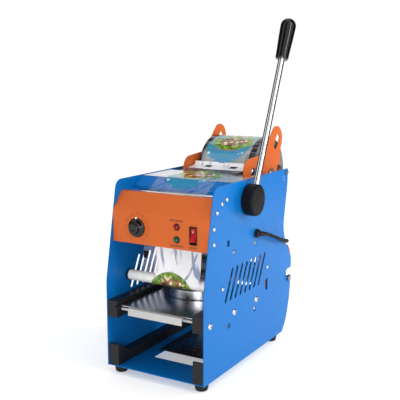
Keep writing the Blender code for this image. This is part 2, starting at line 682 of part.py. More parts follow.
def control_box():
    outer = [(0.046, 0.240), (PANEL_Y, 0.240), (PANEL_Y, 0.2955), (0.048, 0.327), (0.058, 0.327)]
    shell = plate_x([strip(outer[::-1], PANEL_SHEET)], -INNER, INNER)
    tab = [
        (0.0225, 0.241), (0.0460, 0.241), (0.0460, 0.2950), (0.0680, 0.3080), (0.0680, 0.3262),
        (0.0490, 0.3262), (0.0225, 0.2950),
    ]
    cheek = plate_x([tab], INNER - 0.0016, INNER - 0.0001)
    joined = combined(shell, [cheek, mirrored(cheek)], "UNION")
    front, back = PANEL_Y - 0.005, PANEL_Y + 0.006
    cutters = [rod_mesh((-0.1, y, z), (0.1, y, z), 0.0023, 8) for y, z in BOX_SCREWS]
    cutters.append(rod_mesh((KNOB_X, front, KNOB_Z), (KNOB_X, back, KNOB_Z), 0.0045, 12))
    for z in (HEAT_Z, TEMP_Z):
        cutters.append(rod_mesh((LIGHT_X, front, z), (LIGHT_X, back, z), 0.0052, 14))
    low = (ROCKER_X - 0.0062, front, ROCKER_Z - 0.0149)
    high = (ROCKER_X + 0.0062, back, ROCKER_Z + 0.0149)
    cutters.append(box_mesh(low, high))
    node("control_box", combined(joined, cutters, "DIFFERENCE"), "orange_paint", smooth=False)

    low, high = (KNOB_X - 0.020, 0.0258, KNOB_Z - 0.017), (KNOB_X + 0.020, 0.0450, KNOB_Z + 0.017)
    node("thermostat_body", box_mesh(low, high), "black_plastic", smooth=False)
    facing = at(KNOB_X, PANEL_Y, KNOB_Z) @ TURN_TO_FRONT
    knob = turned_mesh([
        (0, 0.0135), (0.0082, 0.0135), (0.0094, 0.0125), (0.0100, 0.0075), (0.0150, 0.0052), (KNOB_R, 0.0030),
        (KNOB_R, 0.0007), (0.0030, 0.0007), (0.0030, -0.0040), (0, -0.0040),
    ], 32, facing)
    low = (KNOB_X - 0.0014, PANEL_Y - 0.0045, KNOB_Z + 0.0140)
    high = (KNOB_X + 0.0014, PANEL_Y - 0.0008, KNOB_Z + 0.0188)
    pointer = box_mesh(low, high)
    node("thermostat_knob", combined(knob, [pointer], "UNION"), "black_plastic", "knob")

    for name, z, color in (("heat_light", HEAT_Z, "red_plastic"), ("temp_light", TEMP_Z, "green_plastic")):
        lamp = turned_mesh([
            (0, 0.0052), (0.0028, 0.0046), (0.0048, 0.0030), (0.0062, 0.0014), (0.0062, GAP),
            (0.0048, GAP), (0.0048, -0.016), (0, -0.016),
        ], 20, at(LIGHT_X, PANEL_Y, z) @ TURN_TO_FRONT)
        node(name, lamp, color)


def rocker_switch():
    x0, x1 = ROCKER_X - 0.0072, ROCKER_X + 0.0072
    z0, z1 = ROCKER_Z - 0.01565, ROCKER_Z + 0.01565
    front = PANEL_Y - GAP
    bezel = box_mesh((x0, front - 0.0018, z0), (x1, front, z1))
    x, z = ROCKER_X, ROCKER_Z
    body = box_mesh((x - 0.0059, front - 0.0009, z - 0.0146), (x + 0.0059, 0.0440, z + 0.0146))
    pocket = box_mesh((x - 0.0052, front - 0.003, z - 0.0142), (x + 0.0052, 0.0330, z + 0.0142))
    housing = combined(combined(bezel, [body], "UNION"), [pocket], "DIFFERENCE")
    node("rocker_housing", housing, "black_plastic", smooth=False)

    shape = [
        (-0.0080, 0.0118), (-0.0062, 0.0), (-0.0080, -0.0118), (-0.0020, -0.0122), (0.0040, -0.0050),
        (0.0040, 0.0050), (-0.0020, 0.0122),
    ]
    turned = []
    for y, z in shape:
        cos, sin = math.cos(ROCKER_TILT), math.sin(ROCKER_TILT)
        turned.append((ROCKER_PIVOT_Y + y * cos - z * sin, ROCKER_Z + y * sin + z * cos))
    button = plate_x([turned[::-1]], ROCKER_X - 0.0049, ROCKER_X + 0.0049)
    node("rocker_button", button, "red_plastic", "rocker", smooth=False)


# ---------------------------------------------------------------- film


def rod_with_ends(radius, y, z, half=INNER, steps=20):
    """A cross rod with a tapped blind hole in each end."""
    hole, depth = 0.0023, 0.007
    profile = [
        (0, half - depth), (hole, half - depth), (hole, half), (radius, half),
        (radius, -half), (hole, -half), (hole, depth - half), (0, depth - half),
    ]
    return turned_mesh(profile, steps, at(0, y, z) @ TURN_TO_X)


def deck():
    under = DECK_TOP - SHEET
    flange = 0.012
    section = [
        (-INNER, DECK_TOP - flange), (-INNER, DECK_TOP), (INNER, DECK_TOP), (INNER, DECK_TOP - flange),
        (INNER - SHEET, DECK_TOP - flange), (INNER - SHEET, under),
        (SHEET - INNER, under), (SHEET - INNER, DECK_TOP - flange),
    ]
    node("deck_plate", plate_y([section], 0.1127, 0.205), "stainless", smooth=False)
    slope = [(0.1111, 0.3461), (0.0848, 0.3320), (0.0848, 0.3200)]
    node("slope_plate", plate_x([strip(slope, 0.0015)], -INNER, INNER), "blue_paint", smooth=False)
    cradle = plate_mesh([rectangle(-INNER, 0.2065, INNER, 0.2455)], 0.2975, 0.2995)
    node("roll_cradle", cradle, "blue_paint", smooth=False)


def film_rods():
    node("front_film_rod", rod_with_ends(FRONT_ROD_R, FRONT_ROD_Y, FRONT_ROD_Z), "chrome")
    node("rear_film_rod", rod_with_ends(REAR_ROD_R, REAR_ROD_Y, REAR_ROD_Z), "chrome")
    node("front_roller_shaft", rod_with_ends(0.0035, ROLLER_Y, ROLLER_Z), "steel")
    roller = turned_mesh(
        ring_profile(0.0035 + GAP, ROLLER_R, -0.0950, 0.0950), 24,
        at(0, ROLLER_Y, ROLLER_Z) @ TURN_TO_X, closed=True,
    )
    node("front_roller", roller, "ivory_plastic", "front_roller")
    guide = turned_mesh([
        (0, 0.0685), (0.0070, 0.0685), (GUIDE_R, 0.0675),
        (GUIDE_R, -0.0675), (0.0070, -0.0685), (0, -0.0685),
    ], 20, at(0, GUIDE_Y, GUIDE_Z) @ TURN_TO_X)
    node("guide_roller", guide, "chrome", "guide_roller")


def bracket_outline():
    return rounded([
        (0.2070, 0.3000, 0), (0.3690, 0.3000, 0.020), (0.3690, 0.3750, 0.040), (0.3900, 0.4250, 0.026),
        (0.3420, 0.4300, 0.020), (0.2900, 0.3785, 0.030), (0.2070, 0.3725, 0.022),
    ])


def roll_brackets():
    """Orange cheeks that carry the film roll, each with a foot on the cradle plate."""
    bolt_places = [(0.3635, 0.3415), (0.2220, 0.3200)]
    loops = [bracket_outline(), slot((0.3470, 0.3905), (0.3575, 0.4045), 0.0080, 7)]
    loops.append(circle(GUIDE_Y, GUIDE_Z, GUIDE_R + 0.0004, 18))
    loops.append(circle(ROLL_Y, ROLL_Z, 0.0063, 16))
    loops += [circle(y, z, 0.0028, 10) for y, z in bolt_places]
    cheek = plate_x(loops, BRACKET_X0, BRACKET_X1)
    foot = box_mesh((BRACKET_X0 + 0.0005, 0.2085, 0.2998), (0.0900, 0.2440, 0.3018))
    pair("roll_bracket", combined(cheek, [foot], "UNION"), "orange_paint", smooth=False)


def film_roll():
    along = at(0, ROLL_Y, ROLL_Z) @ TURN_TO_X
    wound = turned_mesh(ring_profile(CORE_R + GAP, ROLL_R, -FILM_HALF, FILM_HALF), 48, along, closed=True)
    node("film_roll", wound, "film", "supply_roll")
    chuck = turned_mesh([
        (0.030, 0.0633), (0.030, FILM_HALF + GAP), (CORE_R, FILM_HALF + GAP), (CORE_R - 0.0006, 0.0440),
        (0.0066, 0.0440), (0.0066, 0.0633),
    ], 28, along, closed=True)
    pair("roll_chuck", chuck, "black_plastic", "supply_roll")
    end = BRACKET_X1 + GAP
    half = [
        (0, end + 0.0068), (0.0060, end + 0.0068), (0.0062, end + 0.0025),
        (0.0120, end + 0.0025), (0.0120, end), (0.0060, end),
    ]
    axle = turned_mesh([
        *half, *[(radius, -x) for radius, x in reversed(half)],
    ], 24, along)
    node("roll_axle", axle, "steel", "supply_roll")


def waste_roll():
    along = at(0, WASTE_Y, WASTE_Z) @ TURN_TO_X
    half = [(0, 0.1045), (0.0060, 0.1045), (0.0064, 0.1040), (0.0064, 0.1003), (0.0050, 0.1003),
            (0.0050, FILM_HALF), (WASTE_R, FILM_HALF)]
    roll = turned_mesh(half + [(r, -x) for r, x in reversed(half)], 32, along)
    node("waste_roll", roll, "film", "waste_roll")


def film_path():
    """(point, heading) along the film, from the supply roll round each rod to the waste roll.

    Each stop is a centre, the radius that the film runs at, and +1 where the centre lies to the
    left of the film's travel or -1 where it lies to the right. A radius of 0 is a bend on an edge."""
    clear = GAP + FILM_THICK / 2
    stops = [
        (ROLL_Y, ROLL_Z, ROLL_R + clear, 1),
        *((y, z, 0, 1) for y, z in FILM_BULGE),
        (0.1500, DECK_TOP + clear, 0, 1),
        (0.1125, DECK_TOP + clear, 0, 1),
        (FRONT_ROD_Y, FRONT_ROD_Z, FRONT_ROD_R + clear, 1),
        (ROLLER_Y, ROLLER_Z, ROLLER_R + clear, 1),
        (WASTE_Y, WASTE_Z, WASTE_R + clear, -1),
    ]
    headings = []
    for (y0, z0, r0, s0), (y1, z1, r1, s1) in zip(stops, stops[1:]):
        distance = math.hypot(y1 - y0, z1 - z0)
        headings.append(math.atan2(z1 - z0, y1 - y0) - math.asin((s1 * r1 - s0 * r0) / distance))
    path = []
    for i, (y, z, radius, side) in enumerate(stops):
        arrive = headings[max(i - 1, 0)]
        leave = headings[min(i, len(headings) - 1)]
        turn = (leave - arrive + math.pi) % (2 * math.pi) - math.pi
        count = max(1, math.ceil(abs(turn) / math.radians(18))) if radius else 0
        for k in range(count + 1):
            heading = arrive + (turn * k / count if count else turn / 2)
            offset = side * radius
            path.append((y + offset * math.sin(heading), z - offset * math.cos(heading), heading))
            if abs(turn) < 1e-9:
                break
    return path


def film_web():
    half = FILM_THICK / 2
    left = [(y - half * math.sin(a), z + half * math.cos(a)) for y, z, a in film_path()]
    right = [(y + half * math.sin(a), z - half * math.cos(a)) for y, z, a in film_path()]
    node("film_web", plate_x([left + right[::-1]], -FILM_HALF, FILM_HALF), "film", smooth=False)


def rear_cover():
    """The orange guard over the waste film, with a cheek at each end."""
    hood = [(0.2165, 0.1930), (0.3400, 0.1930), (0.3530, 0.1875), (0.3645, 0.1720), (0.3645, 0.1500)]
    shell = plate_x([strip(hood[::-1], 0.0015)], -0.0950, 0.0950)
    cheek = plate_x([rounded([
        (0.2165, 0.1390, 0), (0.2390, 0.1390, 0), (0.2390, 0.1180, 0), (0.3180, 0.1180, 0.006),
        (0.3260, 0.1505, 0.006), (0.3635, 0.1505, 0.004), (0.3635, 0.1715, 0.010),
        (0.3400, 0.1920, 0.012), (0.2165, 0.1920, 0.004),
    ])], 0.0930, 0.0945)
    joined = combined(shell, [cheek, mirrored(cheek)], "UNION")
    hole = rod_mesh((-0.1, REAR_ROD_Y, REAR_ROD_Z), (0.1, REAR_ROD_Y, REAR_ROD_Z), REAR_ROD_R + GAP, 16)
    node("rear_cover", combined(joined, [hole], "DIFFERENCE"), "orange_paint", smooth=False)


# ---------------------------------------------------------------- power cord


def smooth_route(points, spacing):
    """Evenly spaced points read from a centripetal Catmull-Rom curve through the route."""
    points = [Vector(p) for p in points]
    ends = [points[0] * 2 - points[1], *points, points[-1] * 2 - points[-2]]
    fine = []
    for a, b, c, d in zip(ends, ends[1:], ends[2:], ends[3:]):
        knots = [0.0]
        for p, q in ((a, b), (b, c), (c, d)):
            knots.append(knots[-1] + math.sqrt((q - p).length))
        for k in range(24):
            t = knots[1] + (knots[2] - knots[1]) * k / 24
            ab = a.lerp(b, (t - knots[0]) / (knots[1] - knots[0]))
            bc = b.lerp(c, (t - knots[1]) / (knots[2] - knots[1]))
            cd = c.lerp(d, (t - knots[2]) / (knots[3] - knots[2]))
            abc = ab.lerp(bc, (t - knots[0]) / (knots[2] - knots[0]))
            bcd = bc.lerp(cd, (t - knots[1]) / (knots[3] - knots[1]))
            fine.append(abc.lerp(bcd, (t - knots[1]) / (knots[2] - knots[1])))
    fine.append(points[-1])
    length = sum((q - p).length for p, q in zip(fine, fine[1:]))
    count = max(2, round(length / spacing))
    result, walked, target = [fine[0]], 0.0, length / count
    for p, q in zip(fine, fine[1:]):
        step = (q - p).length
        while walked + step >= target and len(result) < count:
            result.append(p.lerp(q, (target - walked) / step))
            target += length / count
        walked += step
    result.append(fine[-1])
    return result


def tube_mesh(route, radius, end_share=1.0, resolution=3):
    """A round tube along the route, its radius changing evenly to the end share of it."""
    curve = bpy.data.curves.new("tube", "CURVE")
    curve.dimensions = "3D"
    curve.bevel_depth = radius
    curve.bevel_resolution = resolution
    curve.use_fill_caps = True
    spline = curve.splines.new("POLY")
    spline.points.add(len(route) - 1)
    for i, point in enumerate(route):
        spline.points[i].co = (*point, 1)
        spline.points[i].radius = 1 + (end_share - 1) * i / (len(route) - 1)
    obj = bpy.data.objects.new("tube", curve)
    bpy.context.scene.collection.objects.link(obj)
    return mesh_of(obj)


def cord():
    nut = turned_mesh([
        (0, 0.1080), (0.0070, 0.1080), (0.0083, 0.1070), (0.0083, 0.1003), (0.0060, 0.1003), (0.0060, 0.0940),
        (0, 0.0940),
    ], 18, at(0, GLAND_Y, GLAND_Z) @ TURN_TO_X)
    bend = [
        (0.1045, 0.1920, 0.2430), (0.1078, 0.1923, 0.2430), (0.1107, 0.1942, 0.2427),
        (0.1124, 0.1977, 0.2420), (0.1129, 0.2022, 0.2410), (0.1130, 0.2070, 0.2398),
        (0.1130, 0.2117, 0.23864),
    ]
    sleeve = tube_mesh(smooth_route(bend, 0.003), 0.0052, 0.72)
    node("cable_gland", combined(nut, [sleeve], "UNION"), "black_plastic")
    cx, cy = COIL_CENTRE
    node("power_cord", tube_mesh(smooth_route(CORD_ROUTE, 0.015), CORD_R), "black_rubber")
    coil = turned_mesh(ring_profile(COIL_INNER, COIL_OUTER, 0.0003, COIL_HIGH), 32, at(cx, cy), closed=True)
    node("cord_coil", coil, "black_rubber")
    plug = turned_mesh([
        (0, 0.0), (0.0045, 0.0), (0.0055, -0.010), (0.0095, -0.016), (0.0110, -0.030), (0.0110, -0.036),
        (0.0022, -0.036), (0.0022, -0.053), (0.0015, -0.054), (0, -0.054),
    ], 20, at(cx - 0.03925, cy + 0.0250, 0.0113) @ Matrix.Rotation(math.pi / 2, 4, "X"))
    node("plug", plug, "black_plastic")


side_plates()
base()
tray_rails()
tray()
head_bridge()
sealing_head()
lever()
control_box()
rocker_switch()
deck()
film_rods()
roll_brackets()
film_roll()
waste_roll()
film_web()
rear_cover()
cord()
for cutter in list(CUTTERS.objects):
    cutter.matrix_world = ROOT.matrix_world @ cutter.matrix_world
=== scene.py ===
"""Looks for the manual cup sealing machine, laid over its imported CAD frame.

Places are written in the machine's own frame, in metres: X from the mid-plane towards the lever,
Y from the front edge backwards, Z up from the floor. at() turns them into the frame's coordinates.
"""
import json
from math import asin, atan2, ceil, copysign, cos, hypot, pi, radians, sin

import bmesh
import bpy
from mathutils import Matrix, Vector, noise


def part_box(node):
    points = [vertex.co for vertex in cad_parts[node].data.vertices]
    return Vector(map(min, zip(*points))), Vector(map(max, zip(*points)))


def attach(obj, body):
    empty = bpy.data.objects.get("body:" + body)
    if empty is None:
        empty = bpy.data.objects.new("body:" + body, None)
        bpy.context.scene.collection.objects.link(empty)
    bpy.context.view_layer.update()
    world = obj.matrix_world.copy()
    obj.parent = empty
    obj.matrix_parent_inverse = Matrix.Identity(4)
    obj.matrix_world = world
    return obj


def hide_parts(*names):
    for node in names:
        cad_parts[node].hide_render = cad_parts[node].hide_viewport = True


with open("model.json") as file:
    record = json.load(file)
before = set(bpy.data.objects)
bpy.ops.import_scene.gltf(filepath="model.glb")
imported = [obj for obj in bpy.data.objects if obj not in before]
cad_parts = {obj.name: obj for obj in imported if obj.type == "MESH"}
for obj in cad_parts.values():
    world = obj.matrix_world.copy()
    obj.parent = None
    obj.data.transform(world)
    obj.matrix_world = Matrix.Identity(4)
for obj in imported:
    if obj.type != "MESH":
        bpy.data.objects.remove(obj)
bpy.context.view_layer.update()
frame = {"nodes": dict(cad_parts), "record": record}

LEFT_PLATE, RIGHT_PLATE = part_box("left_side_plate"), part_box("right_side_plate")
ORIGIN = Vector(((LEFT_PLATE[0][0] + RIGHT_PLATE[1][0]) / 2, RIGHT_PLATE[0][1], 0))
HALF_WIDTH = (RIGHT_PLATE[1][0] - LEFT_PLATE[0][0]) / 2
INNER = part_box("deck_plate")[1][0] - ORIGIN.x

# Lever
SHAFT_Y, SHAFT_Z = 0.156, 0.3115
LEVER_LEAN = radians(24.3)
LEVER_X, LEVER_R = 0.111, 0.006
GRIP_START, GRIP_END, GRIP_R = 0.2725, 0.353, 0.0145
HUB_X0, HUB_X1, HUB_R = 0.1015, 0.122, 0.0285

# Tray
RAIL_WIDTH, RAIL_LOW, RAIL_HIGH = 0.021, 0.106, 0.136
GROOVE_LOW, GROOVE_HIGH, GROOVE_X = 0.1262, 0.1284, 0.0815
RING_Y, RING_R, RING_BORE_R, RING_LOW, RING_TOP = 0.158, 0.068, 0.0475, 0.1283, 0.1465

GROWN = 0.0002  # how far the collars stand off the rails

# Film
FILM_HALF = 0.0602
FILM_BULGE = [(0.27, 0.3925), (0.256, 0.382), (0.247, 0.3695), (0.2425, 0.3572), (0.237, 0.3548)]
ROLL_Y, ROLL_Z, ROLL_R, CORE_R = 0.327, 0.335, 0.073, 0.019
DECK_TOP = 0.347
FRONT_ROD_Y, FRONT_ROD_Z, FRONT_ROD_R = 0.0773, 0.323, 0.0045
ROLLER_Y, ROLLER_Z, ROLLER_R = 0.0645, 0.1685, 0.0095
REAR_ROD_Y, REAR_ROD_Z, REAR_ROD_R = 0.2423, 0.1677, 0.005
GUIDE_Y, GUIDE_Z, GUIDE_R = 0.2456, 0.3481, 0.008
WASTE_Y, WASTE_Z, WASTE_R = 0.344, 0.1215, 0.022
BRACKET_OUT = 0.066
LID_PITCH, LID_R = 0.1175, 0.0475
ROLL_LEAVES = 0.046  # how far along its path the loose film leaves the roll
# How the print lies on the loose film: (metres along its path, metres along its print
# from the first lid's centre)
PRINT_PLACES = [
    (0.0, -0.0275), (0.075, 0.0475), (0.125, 0.07), (0.2425, 0.165), (0.345, 0.283), (0.395, 0.305),
    (0.72, 0.63),
]

# Panel
PANEL_Y = 0.0215
KNOB_X, KNOB_Z, KNOB_R = -0.047, 0.269, 0.0168
LIGHT_X, HEAT_Z, TEMP_Z = 0.0345, 0.2785, 0.2565
ROCKER_X, ROCKER_Z, ROCKER_PIVOT_Y = 0.0672, 0.2665, 0.0265
ROCKER_TILT = radians(-10)

# Fasteners, (y, z)
M6_PLACES = [(0.0204, 0.1154), (0.1078, 0.1157), (0.1958, 0.1159)]
M4_PLACES = [
    (0.0331, 0.2793), (0.0333, 0.2529), (0.0432, 0.3053), (0.061, 0.3178),
    (FRONT_ROD_Y, FRONT_ROD_Z), (ROLLER_Y, ROLLER_Z), (REAR_ROD_Y, REAR_ROD_Z),
]
BRACKET_BOLTS = [(0.3635, 0.3415), (0.222, 0.32)]
STUD_Y, STUD_Z = 0.3255, 0.3405
GLAND_Y, GLAND_Z = 0.192, 0.243

# Cord
CORD_R = 0.00325
COIL_X, COIL_Y = -0.03, 0.445
COIL_OUTER, COIL_INNER = 0.03925, 0.0325
CORD_ROUTE = [
    (0.113, 0.2121, 0.2385), (0.1132, 0.229, 0.233), (0.1128, 0.253, 0.2245),
    (0.1115, 0.278, 0.2155), (0.1092, 0.301, 0.208), (0.106, 0.32, 0.203),
    (0.1012, 0.334, 0.2008), (0.0925, 0.3455, 0.1985), (0.0825, 0.356, 0.193),
    (0.0735, 0.3645, 0.182), (0.066, 0.371, 0.166), (0.06, 0.3758, 0.1465),
    (0.0545, 0.3795, 0.125), (0.0495, 0.3833, 0.1015), (0.045, 0.3868, 0.0785),
    (0.04, 0.39, 0.056), (0.028, 0.3945, 0.029), (0.012, 0.3985, 0.0105),
    (-0.008, 0.3999, 0.0045), (-0.029, 0.39885, 0.0037),
]

UNTURNED = Matrix.Identity(4)


def at(x, y, z):
    return ORIGIN + Vector((x, y, z))


# ---- materials


class Value:
    """A number inside a shader, so that sums of such numbers are written as sums."""

    def __init__(self, shader, socket):
        self.shader, self.socket = shader, socket

    def __rsub__(self, other):
        return self.shader.math("SUBTRACT", other, self)

    def __abs__(self):
        return self.shader.math("ABSOLUTE", self)


for method, operation in (
    ("__add__", "ADD"), ("__sub__", "SUBTRACT"), ("__mul__", "MULTIPLY"), ("__mod__", "MODULO"),
    ("__lt__", "LESS_THAN"), ("__gt__", "GREATER_THAN"),
):
    setattr(Value, method, lambda self, other, operation=operation: self.shader.math(operation, self, other))


class Shader:
    """A Principled material and the small set of nodes that its patterns use."""

    def __init__(self, name, color, roughness=0.4, metallic=0.0, **constants):
        self.material = bpy.data.materials.new(name)
        self.material.use_nodes = True
        self.tree = self.material.node_tree
        self.bsdf = self.tree.nodes["Principled BSDF"]
        self.color = (*color, 1.0)
        self.set("Base Color", self.color)
        self.set("Roughness", roughness)
        self.set("Metallic", metallic)
        for key, value in constants.items():
            self.set(key.replace("_", " "), value)

    def put(self, node, socket, value):
        value = getattr(value, "socket", value)
        target = node.inputs[socket]
        if hasattr(value, "is_output"):
            self.tree.links.new(value, target)
        else:
            target.default_value = value

    def set(self, socket, value):
        self.put(self.bsdf, socket, value)

    def node(self, kind, inputs=(), **settings):
        node = self.tree.nodes.new("ShaderNode" + kind)
        for key, value in settings.items():
            setattr(node, key, value)
        for socket, value in dict(inputs).items():
            self.put(node, socket, value)
        return node

    def place(self, stretch=(1, 1, 1)):
        """Object coordinates, stretched."""
        return self.mapped(self.node("TexCoord").outputs["Object"], Scale=stretch)

    def mapped(self, vector, **settings):
        return self.node("Mapping", {"Vector": vector, **settings}).outputs[0]

    def noise(self, scale, vector=None, detail=3.0, roughness=0.5):
        inputs = {"Scale": scale, "Detail": detail, "Roughness": roughness, "Vector": vector or self.place()}
        return Value(self, self.node("TexNoise", inputs).outputs["Fac"])

    def math(self, operation, a, b=0.0, clamp=False):
        node = self.node("Math", {0: a, 1: b}, operation=operation, use_clamp=clamp)
        return Value(self, node.outputs[0])

    def step(self, value, edge, width):
        """0 below the edge and 1 above it."""
        return self.remap(value, edge - width, edge + width)

    def band(self, value, centre, half):
        """1 where the value is within half of the centre."""
        return abs(value - centre) < half

    def length(self, a, b):
        return self.math("SQRT", a * a + b * b)

    def most(self, first, *others):
        for other in others:
            first = self.math("MAXIMUM", first, other)
        return first

    def flat(self, **parts):
        """A vector of the parts X and Y."""
        return self.node("CombineXYZ", parts).outputs[0]

    def parts(self, vector):
        """The three numbers of a vector."""
        outputs = self.node("SeparateXYZ", {"Vector": vector}).outputs
        return [Value(self, output) for output in outputs]

    def remap(self, value, low, high, to_low=0.0, to_high=1.0):
        inputs = {"Value": value, "From Min": low, "From Max": high, "To Min": to_low, "To Max": to_high}
        return Value(self, self.node("MapRange", inputs).outputs[0])

    def mix(self, factor, a, b):
        node = self.node("Mix", data_type="RGBA")
        for index, value in ((0, factor), (6, a), (7, b)):
            self.put(node, index, (*value, 1.0) if isinstance(value, tuple) and len(value) == 3 else value)
        return node.outputs[2]

    def mottle(self, scale, amount, vector=None):
        """Varies the base colour a little, lighter and darker."""
        dark = tuple(c * (1 - amount) for c in self.color[:3])
        light = tuple(min(1.0, c * (1 + amount)) for c in self.color[:3])
        pattern = self.remap(self.noise(scale, vector, 4.0), 0.3, 0.7)
        self.set("Base Color", self.mix(pattern, dark, light))
        return self

    def rough(self, scale, low, high, vector=None):
        self.set("Roughness", self.remap(self.noise(scale, vector, 4.0), 0.3, 0.7, low, high))
        return self

    def bump(self, pattern, strength, distance):
        inputs = {"Height": pattern, "Strength": strength, "Distance": distance}
        self.set("Normal", self.node("Bump", inputs).outputs[0])
        return self


def powder_coat(name, color, roughness=0.38):
    """Baked powder paint: fine orange peel and a slight unevenness of colour."""
    shader = Shader(name, color, roughness, Specular_IOR_Level=0.14)
    shader.mottle(9, 0.035).rough(160, roughness - 0.05, roughness + 0.06)
    return shader.bump(shader.noise(700, detail=2), 0.05, 0.0003).material


def plastic(name, color, roughness=0.42, grain=1500, specular=0.5):
    shader = Shader(name, color, roughness, Specular_IOR_Level=specular)
    shader.mottle(30, 0.1).rough(220, roughness - 0.08, roughness + 0.08)
    return shader.bump(shader.noise(grain, detail=1), 0.04, 0.0002).material


def rubber(name, color):
    shader = Shader(name, color, 0.6, Specular_IOR_Level=0.2)
    shader.mottle(60, 0.18).rough(300, 0.5, 0.72)
    return shader.bump(shader.noise(1100), 0.25, 0.0002).material


def metal(name, color, low, high, stretch=(1, 1, 1), grain=0.05, scale=60, **constants):
    """Bare metal with fine lines along the direction in which the stretch is small."""
    shader = Shader(name, color, (low + high) / 2, 1.0, **constants)
    lines = shader.place(stretch)
    shader.mottle(scale, 0.05, lines).rough(scale, low, high, lines)
    return shader.bump(shader.noise(scale * 3, lines), grain, 0.0001).material


def lid_colors(shader, u, v):
    """One printed lid: (colour, mask), from metres across the film and metres from the lid's centre."""
    disc = 1.0 - shader.step(shader.length(u, v), LID_R, 0.0004)
    flat = shader.flat(X=u, Y=v)
    sky = shader.mix(shader.remap(v, -0.03, 0.03), (0.05, 0.26, 0.25), (0.035, 0.24, 0.42))
    strokes = shader.remap(shader.noise(62, flat, 4, 0.6), 0.61, 0.64)
    sky = shader.mix(strokes * shader.step(v, 0.018, 0.006), sky, (0.5, 0.66, 0.74))

    u2, v2 = (u - 0.002) * 22, (v + 0.016) * 29
    ragged = u2 * u2 + v2 * v2 + shader.noise(110, flat, 6, 0.65) * 1.4
    garden, heart = [1.0 - shader.step(ragged, edge, 0.05) for edge in (1.66, 1.12)]
    cells = shader.node("TexVoronoi", {"Vector": flat, "Scale": 170.0, "Randomness": 1.0})
    picks = shader.node("SeparateColor", {"Color": cells.outputs["Color"]}).outputs
    greens = shader.mix(picks[0], (0.02, 0.09, 0.004), (0.3, 0.46, 0.02))
    browns = shader.mix(picks[1], (0.035, 0.01, 0.004), (0.36, 0.11, 0.02))
    browns = shader.mix(shader.remap(picks[2], 0.72, 0.76), browns, (0.16, 0.24, 0.03))
    browns = shader.mix(shader.remap(picks[2], 0.88, 0.92), browns, (0.78, 0.66, 0.42))
    picture = shader.mix(heart, shader.mix(garden, sky, greens), browns)
    rows = shader.band(v, 0.0185, 0.0016) * shader.band(u, 0.0, 0.024) * (shader.noise(420, flat, 1) > 0.5)
    return shader.mix(rows * 0.8, picture, (0.5, 0.08, 0.12)), disc


def film_coordinates(shader):
    """(across, along, from the nearest lid's middle, a vector of the first two), in metres, from the UVs."""
    u, along, _ = shader.parts(shader.node("TexCoord").outputs["UV"])
    v = (along + LID_PITCH * 10.5) % LID_PITCH - LID_PITCH / 2
    return u, along, v, shader.flat(X=u, Y=along)


def edge_marks(shader, u, v, half):
    """The black squares that tell a machine where each lid is."""
    return shader.band(u, 0.0548, 0.0048) * shader.band(v, 0.0, half)


def loose_film():
    """Clear film with printed lids, and glare where it lies slack."""
    shader = Shader("printed_film", (0.9, 0.9, 0.9), 0.1, Specular_IOR_Level=0.8)
    u, along, v, flat = film_coordinates(shader)
    picture, disc = lid_colors(shader, u, v)
    marks = edge_marks(shader, u * -1.0, LID_PITCH / 2 - abs(v), 0.0028) * (along > 0.2)
    bars = shader.band(u, -0.0255, 0.007) + shader.band(u, 0.029, 0.0076)
    marks = shader.most(marks, bars * shader.band(along, 0.0535, 0.003))

    # Painted shade: dark blue-grey streaks stand for the shade and reflection in the film's creases.
    painted_crease_shade = 0.0
    for lean in (0.55, -0.75):
        streaks = shader.mapped(shader.mapped(flat, Rotation=(0, 0, lean)), Scale=(75, 15, 1))
        painted_crease_shade = shader.most(painted_crease_shade, shader.remap(shader.noise(1.0, streaks, 4, 0.6), 0.57, 0.65))
    slack = shader.noise(34, flat, 3)
    glare = shader.step(along, 0.185, 0.01) * shader.step(u + slack * 0.03, -0.017, 0.003)
    fold = shader.band(along, 0.0545, 0.0085)
    on_roll = (along < ROLL_LEAVES) * (1.0 - shader.step(abs(u), 0.0465, 0.002))
    clear = (along > ROLL_LEAVES) * 0.13 + glare * 0.82
    solid = shader.most(clear, fold * 0.88, on_roll * 0.55, disc * 0.86)
    shader.set("Alpha", shader.math("MAXIMUM", solid, marks, clamp=True))

    # The film's ground turns to the painted crease shade along the streaks.
    ground = shader.mix(painted_crease_shade, (0.8, 0.8, 0.83), (0.25, 0.29, 0.42))
    ground = shader.mix(on_roll * 0.8, ground, (0.24, 0.3, 0.3))
    color = shader.mix(disc, ground, picture)
    shader.set("Base Color", shader.mix(marks, color, (0.01, 0.01, 0.012)))
    shader.rough(70, 0.06, 0.18, flat)
    shader.set("Specular IOR Level", shader.remap(marks, 0.0, 1.0, 0.8, 0.02))
    return shader.bump(slack, 0.12, 0.002).material


def wound_film(name):
    """The same film in many layers: its clear parts are banded light and dark and its clear edges are dark, as
    painted reflection over the stacked layers.
    """
    shader = Shader(name, (0.6, 0.6, 0.6), 0.16, Specular_IOR_Level=0.5)
    u, along, v, flat = film_coordinates(shader)
    picture, disc = lid_colors(shader, u, v)
    margin = shader.step(abs(u), 0.047, 0.001)
    bands = shader.noise(1.0, shader.mapped(flat, Scale=(14, 120, 1)), 3)
    # Painted reflection: grey-white bands on the clear film and near-black bands at its edges.
    clear = shader.mix(shader.remap(bands, 0.4, 0.62), (0.3, 0.31, 0.33), (0.62, 0.64, 0.66))
    edges = shader.mix(shader.remap(bands, 0.44, 0.6), (0.018, 0.019, 0.024), (0.11, 0.115, 0.13))
    color = shader.mix(margin, shader.mix(disc * 0.75, clear, picture), edges)
    marks = edge_marks(shader, abs(u), (along + 1.0) % 0.0262 - 0.013, 0.0048)
    shader.set("Base Color", shader.mix(marks, color, (0.012, 0.012, 0.014)))
    shader.rough(90, 0.1, 0.24, flat)
    return shader.bump(bands, 0.15, 0.0008).material


